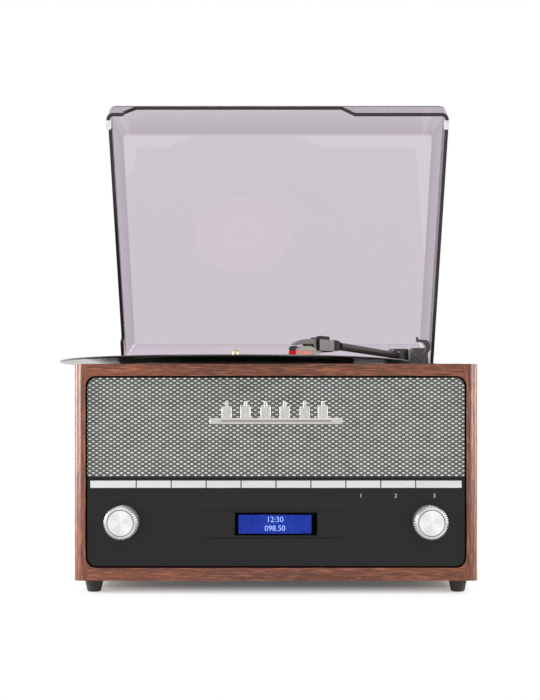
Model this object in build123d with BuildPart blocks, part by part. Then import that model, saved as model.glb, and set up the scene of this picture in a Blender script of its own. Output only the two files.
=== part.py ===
from build123d import *
import os
from math import atan2, cos, degrees, hypot, radians, sin

# Stereo music centre: a wooden cabinet with a radio front, and a record deck under a clear lid.
# The origin is the centre of the cabinet's underside. +X is to the right, +Y to the back, +Z up.

os.makedirs("parts", exist_ok=True)

# ---------------------------------------------------------------- driving dimensions
WIDTH = 312.0
DEPTH = 270.0
HEIGHT = 167.6
FRONT = -DEPTH / 2
BACK = DEPTH / 2

WOOD = 9.0                 # side, top and bottom boards
FRAME_T = 14.0             # the front frame's board
EDGE_ROUND = 4.5           # rounding of the cabinet's upright corners
OPENING_W = 294.6
OPENING_LOW = 9.9
OPENING_HIGH = 158.2
OPENING_ROUND = 8.0
GAP = 0.3                  # clearance round loose pieces

FOOT_H = 10.0
FOOT_TOP_R = 7.5
FOOT_LOW_R = 5.4
FOOT_X = 142.5
FOOT_Y = 119.0

FASCIA_Y = FRONT + 2.2     # face of the radio panel
FASCIA_T = 3.0
GRILLE_LOW = 79.7
BUTTON_LOW = 71.7
BUTTON_H = 5.6
BUTTON_END_W = 35.1
BUTTON_W = 26.2
BUTTON_GAP = 0.8
BUTTON_COUNT = 10
BUTTON_TRAVEL = 1.2
BUTTON_PROUD = 2.0

SCOOP_X = 65.0
SCOOP_LOW = 32.4
SCOOP_HIGH = 55.1
SCOOP_DEEP = 2.2
WINDOW_X = 32.0
WINDOW_LOW = 34.6
WINDOW_HIGH = 52.4

KNOB_X = 118.0
KNOB_Z = 46.0
KNOB_R = 12.45
KNOB_LEN = 21.0
KNOB_TEETH = 45
SHAFT_R = 3.0

BADGE_X = 51.3
BADGE_LOW = 120.9
BADGE_H = 5.0

SPEAKER_X = 92.0
SPEAKER_Z = 119.0
SPEAKER_R = 32.0

SPINDLE_X = -35.4
SPINDLE_Y = -7.0
RECORD_R = 150.5
RECORD_TOP = 174.2
RECORD_T = 1.6
LABEL_R = 50.0
MAT_T = 1.0
PLATTER_R = 102.0
PLATTER_T = 2.2
SPINDLE_R = 3.55
DRIVE_R = 66.0
PULLEY_R = 6.0
BELT_T = 0.8

PIVOT_X = 114.0
PIVOT_Y = 77.0
STYLUS_X = 13.5            # the needle's tip
STYLUS_Y = -86.6
STYLUS_Z = RECORD_TOP + 0.3
ARM_R = 3.1
ELBOW = 140.0              # pivot to the start of the headshell, along the tube
TUBE_ANGLE = 24.9          # of the tube from straight ahead, when the stylus is on the record
REST_Y = -15.0

LID_W = 300.0
LID_X = 1.4                # the lid sits slightly to the right
LID_T = 3.0
LID_WALL = 21.0
LID_RISE = 17.0
LID_SHOULDER = 28.8
LID_INSET = 7.0
LID_FRONT = -125.6
LID_LOW = 170.0
HINGE_Y = 127.0
HINGE_Z = 173.0
HINGE_X = 122.0
LID_OPEN = 60.7


def finish(piece, name):
    """Label a finished piece and write it as its own STEP file."""
    piece.part.label = name
    export_step(piece.part, f"parts/{name}.step")


def front_plane(y):
    """A sketch plane facing the front: its x runs to the right and its y upwards."""
    return Plane(origin=(0, y, 0), x_dir=(1, 0, 0), z_dir=(0, -1, 0))


def turned(points, centre_x, centre_y):
    """Turn a closed half outline of (radius, height) points about an upright axis."""
    with BuildSketch(Plane.XZ) as half:
        with BuildLine():
            Polyline(*points, close=True)
        make_face()
    solid = revolve(half.sketch, axis=Axis.Z, mode=Mode.PRIVATE)
    return solid.moved(Location((centre_x, centre_y, 0)))


def turned_back(points):
    """Turn a closed half outline of (radius, depth) points about the axis that runs to the back."""
    with BuildSketch(Plane.XY) as half:
        with BuildLine():
            Polyline(*points, close=True)
        make_face()
    return revolve(half.sketch, axis=Axis.Y, mode=Mode.PRIVATE)


# ---------------------------------------------------------------- cabinet boards
OPENING_MID = (OPENING_LOW + OPENING_HIGH) / 2
OPENING_H = OPENING_HIGH - OPENING_LOW
INNER_Y = FRONT + FRAME_T
INNER_X = WIDTH / 2 - WOOD

with BuildPart() as front_frame:
    with BuildSketch(front_plane(FRONT)):
        with Locations((0, HEIGHT / 2)):
            Rectangle(WIDTH, HEIGHT)
    extrude(amount=-FRAME_T)
    uprights = front_frame.edges().filter_by(Axis.Z).group_by(Axis.Y)[0]
    fillet(uprights, EDGE_ROUND)
    with BuildSketch(front_plane(FRONT)):
        with Locations((0, OPENING_MID)):
            RectangleRounded(OPENING_W, OPENING_H, OPENING_ROUND)
    extrude(amount=-FRAME_T, mode=Mode.SUBTRACT)
    lips = front_frame.faces().sort_by(Axis.Y)[0].inner_wires()[0].edges()
    fillet(lips, 0.8)
finish(front_frame, "front_frame")

for side_name, side in (("left_side_panel", -1), ("right_side_panel", 1)):
    with BuildPart() as side_panel:
        with Locations((side * (WIDTH / 2 - WOOD / 2), (INNER_Y + BACK) / 2, HEIGHT / 2)):
            Box(WOOD, BACK - INNER_Y, HEIGHT)
        rear_edge = side_panel.edges().filter_by(Axis.Z).group_by(Axis.Y)[-1].sort_by(Axis.X)
        fillet(rear_edge[-1] if side > 0 else rear_edge[0], 1.5)
    finish(side_panel, side_name)

DECK_X = 146.0
DECK_Y = 121.0
DECK_LIP = 2.0
DECK_MID_Y = 4.0
BOARD_END = BACK - 4.0

with BuildPart() as top_panel:
    with Locations((0, (INNER_Y + BOARD_END) / 2, HEIGHT - WOOD / 2)):
        Box(2 * INNER_X, BOARD_END - INNER_Y, WOOD)
    with Locations((0, DECK_MID_Y, HEIGHT - WOOD / 2)):
        Box(2 * (DECK_X - DECK_LIP), 2 * (DECK_Y - DECK_LIP), WOOD, mode=Mode.SUBTRACT)
finish(top_panel, "top_panel")

FOOT_SPACE_X = 2 * FOOT_X
FOOT_SPACE_Y = 2 * FOOT_Y
SEAT_SIZE = 28.0           # the underside is relieved this far round each foot
SEAT_DEEP = 0.4
SCREW_R = 1.5
with BuildPart() as bottom_panel:
    with Locations((0, (INNER_Y + BOARD_END) / 2, WOOD / 2)):
        Box(2 * INNER_X, BOARD_END - INNER_Y, WOOD)
    with GridLocations(FOOT_SPACE_X, FOOT_SPACE_Y, 2, 2):
        Box(SEAT_SIZE, SEAT_SIZE, 2 * SEAT_DEEP, mode=Mode.SUBTRACT)
        Cylinder(SCREW_R + 0.1, 2 * WOOD + 1, mode=Mode.SUBTRACT)
finish(bottom_panel, "bottom_panel")

BACK_T = 4.0
VENT_COUNT = 9
VENT_LOW = 92.0
VENT_PITCH = 6.0
VENT_W = 96.0
VENT_H = 2.4
SOCKET_Z = 34.0            # the row of sockets
SOCKET_W = 150.0
SOCKET_H = 34.0
rear = Plane(origin=(0, BACK, SOCKET_Z), x_dir=(-1, 0, 0), z_dir=(0, 1, 0))
with BuildPart() as back_panel:
    with Locations((0, BACK - BACK_T / 2, HEIGHT / 2)):
        Box(2 * (INNER_X - GAP), BACK_T, HEIGHT - 2 * GAP)
    for row in range(VENT_COUNT):
        with Locations((0, BACK - BACK_T / 2, VENT_LOW + VENT_PITCH * row)):
            Box(VENT_W, 2 * BACK_T, VENT_H, mode=Mode.SUBTRACT)
    with BuildSketch(rear):
        RectangleRounded(SOCKET_W, SOCKET_H, 3)
    extrude(amount=-BACK_T, mode=Mode.SUBTRACT)
finish(back_panel, "back_panel")

with BuildSketch(Plane.XZ) as foot_half:
    with BuildLine():
        Polyline(
            (0, 0),
            (FOOT_TOP_R, 0),
            (FOOT_LOW_R, -FOOT_H + 0.8),
            (FOOT_LOW_R - 0.8, -FOOT_H),
            (0, -FOOT_H),
            close=True,
        )
    make_face()
foot_solid = revolve(foot_half.sketch, axis=Axis.Z, mode=Mode.PRIVATE)

HEAD_R = 3.1
HEAD_LOW = -6.6
HEAD_SEAT = -5.0           # where the screw's head bears in the foot
SCREW_TOP = 6.0
with BuildPart() as feet:
    with GridLocations(FOOT_SPACE_X, FOOT_SPACE_Y, 2, 2):
        add(foot_solid)
    with Locations(Plane(origin=(0, 0, -FOOT_H), z_dir=(0, 0, -1))):
        with GridLocations(FOOT_SPACE_X, FOOT_SPACE_Y, 2, 2):
            CounterBoreHole(SCREW_R + 0.25, HEAD_R + GAP, FOOT_H + HEAD_SEAT, depth=FOOT_H)
finish(feet, "feet")

with BuildSketch(Plane.XZ) as screw_half:
    with BuildLine():
        Polyline(
            (0, HEAD_LOW),
            (HEAD_R, HEAD_LOW),
            (HEAD_R, HEAD_SEAT),
            (SCREW_R, HEAD_SEAT),
            (SCREW_R, SCREW_TOP),
            (0, SCREW_TOP),
            close=True,
        )
    make_face()
screw_solid = revolve(screw_half.sketch, axis=Axis.Z, mode=Mode.PRIVATE)

with BuildPart() as foot_screws:
    with GridLocations(FOOT_SPACE_X, FOOT_SPACE_Y, 2, 2):
        add(screw_solid)
finish(foot_screws, "foot_screws")


# ---------------------------------------------------------------- radio panel and grille
FASCIA_X = OPENING_W / 2 - GAP
FASCIA_LOW = OPENING_LOW + GAP
BUTTON_MID = BUTTON_LOW + BUTTON_H / 2
BUTTON_SPAN = 2 * BUTTON_END_W + 8 * BUTTON_W + 9 * BUTTON_GAP
SLOT_LOW = BUTTON_LOW - GAP
SLOT_HIGH = BUTTON_LOW + BUTTON_H + GAP
FASCIA_BACK = FASCIA_Y + FASCIA_T
BUTTON_BACK = FASCIA_BACK + 1.5
PLUNGER_LEN = 1.0
SWITCH_T = 1.6             # switch bodies on the button board
TIP_T = 1.0                # and their tips
BOARD_Y = BUTTON_BACK + PLUNGER_LEN + BUTTON_TRAVEL + SWITCH_T + TIP_T + 0.4
BOARD_Z = 60.0             # middle of the button board
POST_X = (-136, -70, 70, 136)
KNOB_SPOTS = ((-KNOB_X, KNOB_Z), (KNOB_X, KNOB_Z))

with BuildPart() as front_fascia:
    with BuildSketch(front_plane(FASCIA_Y)):
        with Locations((0, (FASCIA_LOW + GRILLE_LOW - GAP) / 2)):
            Rectangle(2 * FASCIA_X, GRILLE_LOW - GAP - FASCIA_LOW)
    extrude(amount=-FASCIA_T)
    low_corners = front_fascia.edges().filter_by(Axis.Y).group_by(Axis.Z)[0]
    fillet(low_corners, OPENING_ROUND - GAP)
    # the scooped band runs down to the display from both sides
    with BuildSketch(Plane.XY.offset(SCOOP_LOW)):
        with BuildLine():
            Polyline(
                (-SCOOP_X, FASCIA_Y - 1),
                (SCOOP_X, FASCIA_Y - 1),
                (SCOOP_X, FASCIA_Y),
                (WINDOW_X + 1, FASCIA_Y + SCOOP_DEEP),
                (-WINDOW_X - 1, FASCIA_Y + SCOOP_DEEP),
                (-SCOOP_X, FASCIA_Y),
                close=True,
            )
        make_face()
    extrude(amount=SCOOP_HIGH - SCOOP_LOW, mode=Mode.SUBTRACT)
    with BuildSketch(front_plane(FASCIA_Y)):
        with Locations((0, (WINDOW_LOW + WINDOW_HIGH) / 2)):
            Rectangle(2 * WINDOW_X, WINDOW_HIGH - WINDOW_LOW)
        with Locations((0, (SLOT_LOW + SLOT_HIGH) / 2)):
            Rectangle(BUTTON_SPAN + 2 * GAP, SLOT_HIGH - SLOT_LOW)
        with Locations(*KNOB_SPOTS):
            Circle(SHAFT_R + 0.8)
    extrude(amount=-FASCIA_T, mode=Mode.SUBTRACT)
    # posts at the back carry the button board
    with BuildSketch(front_plane(FASCIA_BACK)):
        for post in POST_X:
            with Locations((post, BOARD_Z)):
                Circle(3)
    extrude(amount=FASCIA_BACK - BOARD_Y)
finish(front_fascia, "front_fascia")

with BuildPart() as display_lens:
    with BuildSketch(front_plane(FASCIA_Y + SCOOP_DEEP)):
        with Locations((0, (WINDOW_LOW + WINDOW_HIGH) / 2)):
            Rectangle(2 * WINDOW_X - GAP, WINDOW_HIGH - WINDOW_LOW - GAP)
    extrude(amount=-1.5)
    fillet(display_lens.edges().filter_by(Axis.Y), 0.6)
finish(display_lens, "display_lens")

LCD_Y = FASCIA_BACK + 2.0
LCD_W = 60.0
LCD_H = 16.5
LCD_BOARD_T = 1.6
window_mid = (0, (WINDOW_LOW + WINDOW_HIGH) / 2)
with BuildPart() as display_module:
    # glass in front, its circuit board, and the lamp case behind
    for face_y, width, height, thick in (
        (LCD_Y, LCD_W + 12, LCD_H + 9.5, -LCD_BOARD_T),
        (LCD_Y, LCD_W, LCD_H, 0.9),
        (LCD_Y + LCD_BOARD_T, LCD_W + 6, LCD_H + 5.5, -3.0),
    ):
        with BuildSketch(front_plane(face_y)):
            with Locations(window_mid):
                Rectangle(width, height)
        extrude(amount=thick)
finish(display_module, "display_module")

GRILLE_Y = FRONT + 3.0
GRILLE_T = 1.2
GRILLE_HIGH = OPENING_HIGH - GAP
with BuildPart() as grille_cloth:
    with BuildSketch(front_plane(GRILLE_Y)):
        with Locations((0, (GRILLE_LOW + GRILLE_HIGH) / 2)):
            Rectangle(2 * FASCIA_X, GRILLE_HIGH - GRILLE_LOW)
    extrude(amount=-GRILLE_T)
    top_corners = grille_cloth.edges().filter_by(Axis.Y).group_by(Axis.Z)[-1]
    fillet(top_corners, OPENING_ROUND - GAP)
finish(grille_cloth, "grille_cloth")

BAFFLE_Y = GRILLE_Y + GRILLE_T
BAFFLE_T = FRONT + FRAME_T - BAFFLE_Y
with BuildPart() as speaker_baffle:
    with BuildSketch(front_plane(BAFFLE_Y)):
        with Locations((0, (GRILLE_LOW + GRILLE_HIGH) / 2)):
            Rectangle(2 * FASCIA_X, GRILLE_HIGH - GRILLE_LOW)
        with Locations((-SPEAKER_X, SPEAKER_Z), (SPEAKER_X, SPEAKER_Z)):
            Circle(SPEAKER_R, mode=Mode.SUBTRACT)
    extrude(amount=-BAFFLE_T)
    top_corners = speaker_baffle.edges().filter_by(Axis.Y).group_by(Axis.Z)[-1]
    fillet(top_corners, OPENING_ROUND - GAP)
finish(speaker_baffle, "speaker_baffle")

FIN_SPOTS = (-38.2, -23.6, -8.1, 6.7, 22.2, 36.3)
FIN_W = 2.6
FIN_H = 13.6
FIN_SIDE_H = 9.5           # the lower fins on both sides of each tall one
FIN_FOOT = BADGE_LOW + BADGE_H - 0.5
BADGE_T = 1.6
badge_mid = (0, BADGE_LOW + BADGE_H / 2)
with BuildPart() as badge:
    with BuildSketch(front_plane(GRILLE_Y)):
        with Locations(badge_mid):
            SlotOverall(2 * BADGE_X, BADGE_H)
    extrude(amount=BADGE_T)
    with BuildSketch(front_plane(GRILLE_Y - BADGE_T)):
        with Locations(badge_mid):
            SlotOverall(2 * BADGE_X - 8, 1.2)
    extrude(amount=-0.6, mode=Mode.SUBTRACT)
    # six groups of three fins stand on the bar
    with BuildSketch(front_plane(GRILLE_Y)):
        for spot in FIN_SPOTS:
            for shift, tall in ((-FIN_W, FIN_SIDE_H), (0, FIN_H), (FIN_W, FIN_SIDE_H)):
                with Locations((spot + shift, FIN_FOOT + tall / 2)):
                    Rectangle(FIN_W, tall)
    extrude(amount=BADGE_T - 0.2)
finish(badge, "badge")

button_lefts = []
edge = -BUTTON_SPAN / 2
for number in range(BUTTON_COUNT):
    width = BUTTON_END_W if number in (0, BUTTON_COUNT - 1) else BUTTON_W
    button_lefts.append((edge, width))
    edge += width + BUTTON_GAP

for number, (left, width) in enumerate(button_lefts):
    middle = left + width / 2
    with BuildPart() as button:
        with BuildSketch(front_plane(FASCIA_Y - BUTTON_PROUD)):
            with Locations((middle, BUTTON_MID)):
                Rectangle(width, BUTTON_H)
        extrude(amount=-(BUTTON_BACK - FASCIA_Y + BUTTON_PROUD))
        fillet(button.faces().sort_by(Axis.Y)[0].edges(), 0.5)
        # the plunger that meets the switch behind
        with BuildSketch(front_plane(BUTTON_BACK)):
            with Locations((middle, BUTTON_MID)):
                Rectangle(2.6, 2.6)
        extrude(amount=-PLUNGER_LEN)
    finish(button, f"button_{number + 1}")

ENCODER_Y = FASCIA_BACK + 2.0
ENCODER_SIZE = 13.0
ENCODER_BORE = 4.0
BOARD_W = 284.0
BOARD_H = 36.0
BOARD_T = 1.6
with BuildPart() as button_board:
    with BuildSketch(front_plane(BOARD_Y)):
        with Locations((0, BOARD_Z)):
            Rectangle(BOARD_W, BOARD_H)
    extrude(amount=-BOARD_T)
    # a switch with a square tip behind each button
    for face_y, size, thick in ((BOARD_Y, 6.0, SWITCH_T), (BOARD_Y - SWITCH_T, 2.6, TIP_T)):
        with BuildSketch(front_plane(face_y)):
            for left, width in button_lefts:
                with Locations((left + width / 2, BUTTON_MID)):
                    Rectangle(size, size)
        extrude(amount=thick)
    # the two rotary encoders are soldered to the same board
    with BuildSketch(front_plane(ENCODER_Y)):
        with Locations(*KNOB_SPOTS):
            Rectangle(ENCODER_SIZE, ENCODER_SIZE)
    extrude(amount=ENCODER_Y - BOARD_Y)
    with BuildSketch(front_plane(ENCODER_Y)):
        with Locations(*KNOB_SPOTS):
            Circle(SHAFT_R + 0.05)
    extrude(amount=-ENCODER_BORE, mode=Mode.SUBTRACT)
finish(button_board, "button_board")

# ---------------------------------------------------------------- knobs
KNOB_BACK = FASCIA_Y - 2.0
KNOB_FACE = KNOB_BACK - KNOB_LEN
CAP_BEVEL = 1.4
TOOTH_R = 0.75
RING_OUT = 10.2            # shallow ring turned into the cap
RING_IN = 9.7
SKIRT_R = 9.0              # hollow behind the cap, round the boss
BOSS_R = 5.5
HOLLOW_LEN = 12.0
BORE_LEN = 14.0
SHAFT_END = 0.5            # the shaft stops this far short of the bore's end
ENCODER_HOLD = 2.0
for knob_name, side in (("volume", -1), ("tune", 1)):
    axis_x = side * KNOB_X
    with BuildPart() as knob:
        with BuildSketch(front_plane(KNOB_BACK)):
            with Locations((axis_x, KNOB_Z)):
                Circle(KNOB_R - 0.5)
        extrude(amount=KNOB_LEN)
        chamfer(knob.faces().sort_by(Axis.Y)[0].edges(), CAP_BEVEL)
        with BuildSketch(front_plane(KNOB_BACK)):
            with Locations((axis_x, KNOB_Z)):
                with PolarLocations(KNOB_R - 0.5, KNOB_TEETH):
                    RegularPolygon(TOOTH_R, 3)
        extrude(amount=KNOB_LEN - 2 * CAP_BEVEL)
        with BuildSketch(front_plane(KNOB_FACE)):
            with Locations((axis_x, KNOB_Z)):
                Circle(RING_OUT)
                Circle(RING_IN, mode=Mode.SUBTRACT)
        extrude(amount=-0.5, mode=Mode.SUBTRACT)
        with BuildSketch(front_plane(KNOB_BACK)):
            with Locations((axis_x, KNOB_Z)):
                Circle(SKIRT_R)
                Circle(BOSS_R, mode=Mode.SUBTRACT)
        extrude(amount=HOLLOW_LEN, mode=Mode.SUBTRACT)
        with BuildSketch(front_plane(KNOB_BACK)):
            with Locations((axis_x, KNOB_Z)):
                Circle(SHAFT_R + 0.05)
        extrude(amount=BORE_LEN, mode=Mode.SUBTRACT)
    finish(knob, f"{knob_name}_knob")

    shaft_front = KNOB_BACK - BORE_LEN + SHAFT_END
    with BuildPart() as shaft:
        with BuildSketch(front_plane(shaft_front)):
            with Locations((axis_x, KNOB_Z)):
                Circle(SHAFT_R)
        extrude(amount=shaft_front - ENCODER_Y - ENCODER_HOLD)
    finish(shaft, f"{knob_name}_shaft")

# ---------------------------------------------------------------- loudspeakers
# half outlines as (radius, depth behind the baffle)
BASKET_HALF = (
    (38, 0), (38, 1.6), (33, 1.6), (22, 18), (11, 18), (11, 16.4), (20.5, 16.4), (31, 1.2), (31, 0),
)
MAGNET_HALF = ((0, 18), (22, 18), (22, 30), (0, 30))
CONE_HALF = (
    (30.7, 0.4), (30.7, 1.0), (26.6, 1.0), (9, 14.5), (9, 15.8), (8.2, 15.8), (8.2, 12.5),
    (0, 9.6), (0, 9), (8.6, 12), (25.8, 0.2),
)
basket_solid = turned_back(BASKET_HALF)
magnet_solid = turned_back(MAGNET_HALF)
cone_solid = turned_back(CONE_HALF)

for side_name, side in (("left", -1), ("right", 1)):
    with BuildPart() as speaker_basket:
        with Locations((side * SPEAKER_X, INNER_Y, SPEAKER_Z)):
            add(basket_solid)
            add(magnet_solid)
    finish(speaker_basket, f"{side_name}_speaker_basket")
    with BuildPart() as speaker_cone:
        with Locations((side * SPEAKER_X, INNER_Y, SPEAKER_Z)):
            add(cone_solid)
    finish(speaker_cone, f"{side_name}_speaker_cone")

# ---------------------------------------------------------------- electronics and rear sockets
MAIN_Y = 92.0
MAIN_Z = WOOD + 6.0
MAIN_W = 170.0
MAIN_D = 62.0
MAIN_TOP = MAIN_Z + BOARD_T / 2
STANDOFF_H = MAIN_Z - BOARD_T / 2 - WOOD
# parts on the board as (x, y, width, depth, height)
BOARD_PARTS = ((-40, 90, 34, 4, 14), (40, 105, 14, 14, 2), (0, 70, 22, 9, 5))
CAPACITOR_SPOTS = ((10, 85), (30, 85))
CAPACITOR_H = 12.0
with BuildPart() as main_board:
    with Locations((0, MAIN_Y, MAIN_Z)):
        Box(MAIN_W, MAIN_D, BOARD_T)
    with Locations((-55, MAIN_Y, WOOD), (55, MAIN_Y, WOOD)):
        Cylinder(3, STANDOFF_H, align=(Align.CENTER, Align.CENTER, Align.MIN))
    for part_x, part_y, part_w, part_d, part_h in BOARD_PARTS:
        with Locations((part_x, part_y, MAIN_TOP + part_h / 2)):
            Box(part_w, part_d, part_h)
    for can_x, can_y in CAPACITOR_SPOTS:
        with Locations((can_x, can_y, MAIN_TOP)):
            Cylinder(6, CAPACITOR_H, align=(Align.CENTER, Align.CENTER, Align.MIN))
finish(main_board, "main_board")

# sockets from the right, seen from behind: their distance from the middle
POWER_AT = -58.0
PHONO_AT = (-30.0, -8.0)
JACK_AT = (14.0, 34.0)
AERIAL_AT = 58.0
PLATE_T = 2.5
POWER_R = 2.75
POWER_LEN = 9.5
PHONO_R = 4.1
PHONO_LEN = 8.5
PHONO_PIN_R = 1.6
JACK_R = 1.8
JACK_LEN = 12.0
AERIAL_R = 1.6
COLLAR = 1.2               # wall of the power and jack collars
BODY_W = 11.0
BODY_H = 12.0
inside = rear.offset(-PLATE_T)
power_spot = (POWER_AT, 0)
phono_spots = [(across, 0) for across in PHONO_AT]
jack_spots = [(across, 0) for across in JACK_AT]

with BuildPart() as socket_plate:
    with BuildSketch(rear):
        RectangleRounded(SOCKET_W - 2 * GAP, SOCKET_H - 2 * GAP, 3)
        with Locations(power_spot):
            Circle(POWER_R + COLLAR + 0.1, mode=Mode.SUBTRACT)
        with Locations(*phono_spots):
            Circle(PHONO_R + COLLAR, mode=Mode.SUBTRACT)
        with Locations(*jack_spots):
            Circle(JACK_R + COLLAR + 0.1, mode=Mode.SUBTRACT)
        with Locations((AERIAL_AT, 0)):
            Circle(AERIAL_R, mode=Mode.SUBTRACT)
    extrude(amount=-PLATE_T)
finish(socket_plate, "socket_plate")

with BuildPart() as rear_sockets:
    with BuildSketch(inside):
        with Locations(power_spot, *phono_spots, *jack_spots):
            Rectangle(BODY_W, BODY_H)
    extrude(amount=-BODY_W)
    # collars that stand in the plate's holes
    with BuildSketch(inside):
        with Locations(power_spot):
            Circle(POWER_R + COLLAR)
        with Locations(*jack_spots):
            Circle(JACK_R + COLLAR)
    extrude(amount=PLATE_T)
    with BuildSketch(inside):
        with Locations(*phono_spots):
            Circle(PHONO_R)
    extrude(amount=PHONO_LEN)
    for spots, radius, length in (([power_spot], POWER_R, POWER_LEN), (jack_spots, JACK_R, JACK_LEN)):
        with BuildSketch(rear):
            with Locations(*spots):
                Circle(radius)
        extrude(amount=-length, mode=Mode.SUBTRACT)
    # each phono socket is a tube with its contact down the middle
    with BuildSketch(inside.offset(PHONO_LEN)):
        with Locations(*phono_spots):
            Circle(PHONO_R - 0.9)
    extrude(amount=-PHONO_LEN + 1, mode=Mode.SUBTRACT)
    with BuildSketch(inside):
        with Locations(*phono_spots):
            Circle(PHONO_PIN_R + 1)
            Circle(PHONO_PIN_R, mode=Mode.SUBTRACT)
    extrude(amount=PHONO_LEN - 1)
finish(rear_sockets, "rear_sockets")

# ---------------------------------------------------------------- record deck
DECK_TOP = HEIGHT + 0.8
WELL_R = PLATTER_R + 2.5
LIFTER_X = PIVOT_X - 7.5
LIFTER_Y = PIVOT_Y - 20.5
SWITCH_X = 70.0
SWITCH_Y = 110.0
WELL_LOW = HEIGHT - 13.0
SKIN = 2.2
MOTOR_X = SPINDLE_X + 82.0
MOTOR_Y = SPINDLE_Y + 22.0
BEARING_R = 6.0
LIFTER_R = 1.5
SWITCH_SLOT = (22.0, 3.6)
with BuildPart() as deck_plate:
    with Locations((0, DECK_MID_Y, (HEIGHT + DECK_TOP) / 2)):
        Box(2 * DECK_X - 1, 2 * DECK_Y - 1, DECK_TOP - HEIGHT)
    with Locations((0, DECK_MID_Y, HEIGHT - SKIN / 2)):
        Box(2 * (DECK_X - DECK_LIP - GAP), 2 * (DECK_Y - DECK_LIP - GAP), SKIN)
    with BuildSketch(Plane.XY.offset(HEIGHT)):
        with Locations((SPINDLE_X, SPINDLE_Y)):
            Circle(WELL_R + SKIN)
    extrude(amount=-(HEIGHT - WELL_LOW + SKIN))
    with BuildSketch(Plane.XY.offset(DECK_TOP)):
        with Locations((SPINDLE_X, SPINDLE_Y)):
            Circle(WELL_R)
    extrude(amount=-(DECK_TOP - WELL_LOW), mode=Mode.SUBTRACT)
    with BuildSketch(Plane.XY.offset(WELL_LOW)):
        with Locations((SPINDLE_X, SPINDLE_Y)):
            Circle(BEARING_R + 0.05)
        with Locations((MOTOR_X, MOTOR_Y)):
            Circle(PULLEY_R + 4.5)
    extrude(amount=-SKIN, mode=Mode.SUBTRACT)
    # holes for the tonearm's shaft, the lifter's stem and the speed switch
    with BuildSketch(Plane.XY.offset(DECK_TOP)):
        with Locations((PIVOT_X, PIVOT_Y)):
            Circle(4.0)
        with Locations((LIFTER_X, LIFTER_Y)):
            Circle(LIFTER_R + 0.05)
        with Locations((SWITCH_X, SWITCH_Y)):
            Rectangle(*SWITCH_SLOT)
    extrude(amount=-3 * SKIN, mode=Mode.SUBTRACT)
finish(deck_plate, "deck_plate")

PLATTER_TOP = RECORD_TOP - RECORD_T - MAT_T
PLATTER_SKIRT = HEIGHT - 9.0
RIM_T = 2.5                # wall of the platter's skirt and of its drive ring
HUB_R = 9.0
SEAT_R = 4.2               # the spindle's shoulder, inside the hub
HOLE_AT = 82.0             # the three finger holes
HOLE_R = 7.0
BORE_R = 3.65              # centre hole of a record
DRIVE_LOW = WELL_LOW + 1.5
SHAFT_LOW = WELL_LOW - 22.0


with BuildPart() as platter:
    add(
        turned(
            (
                (SEAT_R, PLATTER_TOP),
                (PLATTER_R - 1, PLATTER_TOP),
                (PLATTER_R, PLATTER_TOP - 1),
                (PLATTER_R, PLATTER_SKIRT),
                (PLATTER_R - RIM_T, PLATTER_SKIRT),
                (PLATTER_R - RIM_T, PLATTER_TOP - PLATTER_T),
                (DRIVE_R, PLATTER_TOP - PLATTER_T),
                (DRIVE_R, DRIVE_LOW),
                (DRIVE_R - RIM_T, DRIVE_LOW),
                (DRIVE_R - RIM_T, PLATTER_TOP - PLATTER_T),
                (HUB_R, PLATTER_TOP - PLATTER_T),
                (HUB_R, DRIVE_LOW + 1),
                (SEAT_R, DRIVE_LOW + 1),
            ),
            SPINDLE_X,
            SPINDLE_Y,
        )
    )
    with BuildSketch(Plane.XY.offset(PLATTER_TOP)):
        with Locations((SPINDLE_X, SPINDLE_Y)):
            with PolarLocations(HOLE_AT, 3, start_angle=20):
                Circle(HOLE_R)
    extrude(amount=-PLATTER_T, mode=Mode.SUBTRACT)
finish(platter, "platter")

MAT_RINGS = (60, 72, 84)   # grooves in the rubber
with BuildPart() as platter_mat:
    with BuildSketch(Plane.XY.offset(PLATTER_TOP)):
        with Locations((SPINDLE_X, SPINDLE_Y)):
            Circle(PLATTER_R - 3)
            Circle(SEAT_R, mode=Mode.SUBTRACT)
    extrude(amount=MAT_T)
    with BuildSketch(Plane.XY.offset(PLATTER_TOP + MAT_T)):
        with Locations((SPINDLE_X, SPINDLE_Y)):
            for ring in MAT_RINGS:
                Circle(ring + 1.2)
                Circle(ring, mode=Mode.SUBTRACT)
    extrude(amount=-0.4, mode=Mode.SUBTRACT)
finish(platter_mat, "platter_mat")

SPINDLE_TOP = 184.9
JOURNAL_R = 3.0            # the shaft in its bearing
BEARING_TOP = WELL_LOW + 1.0
with BuildPart() as spindle:
    add(
        turned(
            (
                (0, SHAFT_LOW),
                (JOURNAL_R - 0.05, SHAFT_LOW),
                (JOURNAL_R - 0.05, BEARING_TOP + 0.2),
                (SEAT_R, BEARING_TOP + 0.2),
                (SEAT_R, PLATTER_TOP),
                (SPINDLE_R, PLATTER_TOP + 0.4),
                (SPINDLE_R, SPINDLE_TOP - 4.3),
                (SPINDLE_R - 0.3, SPINDLE_TOP - 2.5),
                (SPINDLE_R - 1.2, SPINDLE_TOP - 1.0),
                (1.2, SPINDLE_TOP - 0.2),
                (0, SPINDLE_TOP),
            ),
            SPINDLE_X,
            SPINDLE_Y,
        )
    )
finish(spindle, "spindle")

with BuildPart() as spindle_bearing:
    add(
        turned(
            (
                (JOURNAL_R, SHAFT_LOW),
                (BEARING_R, SHAFT_LOW),
                (BEARING_R, BEARING_TOP),
                (JOURNAL_R, BEARING_TOP),
            ),
            SPINDLE_X,
            SPINDLE_Y,
        )
    )
finish(spindle_bearing, "spindle_bearing")

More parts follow.
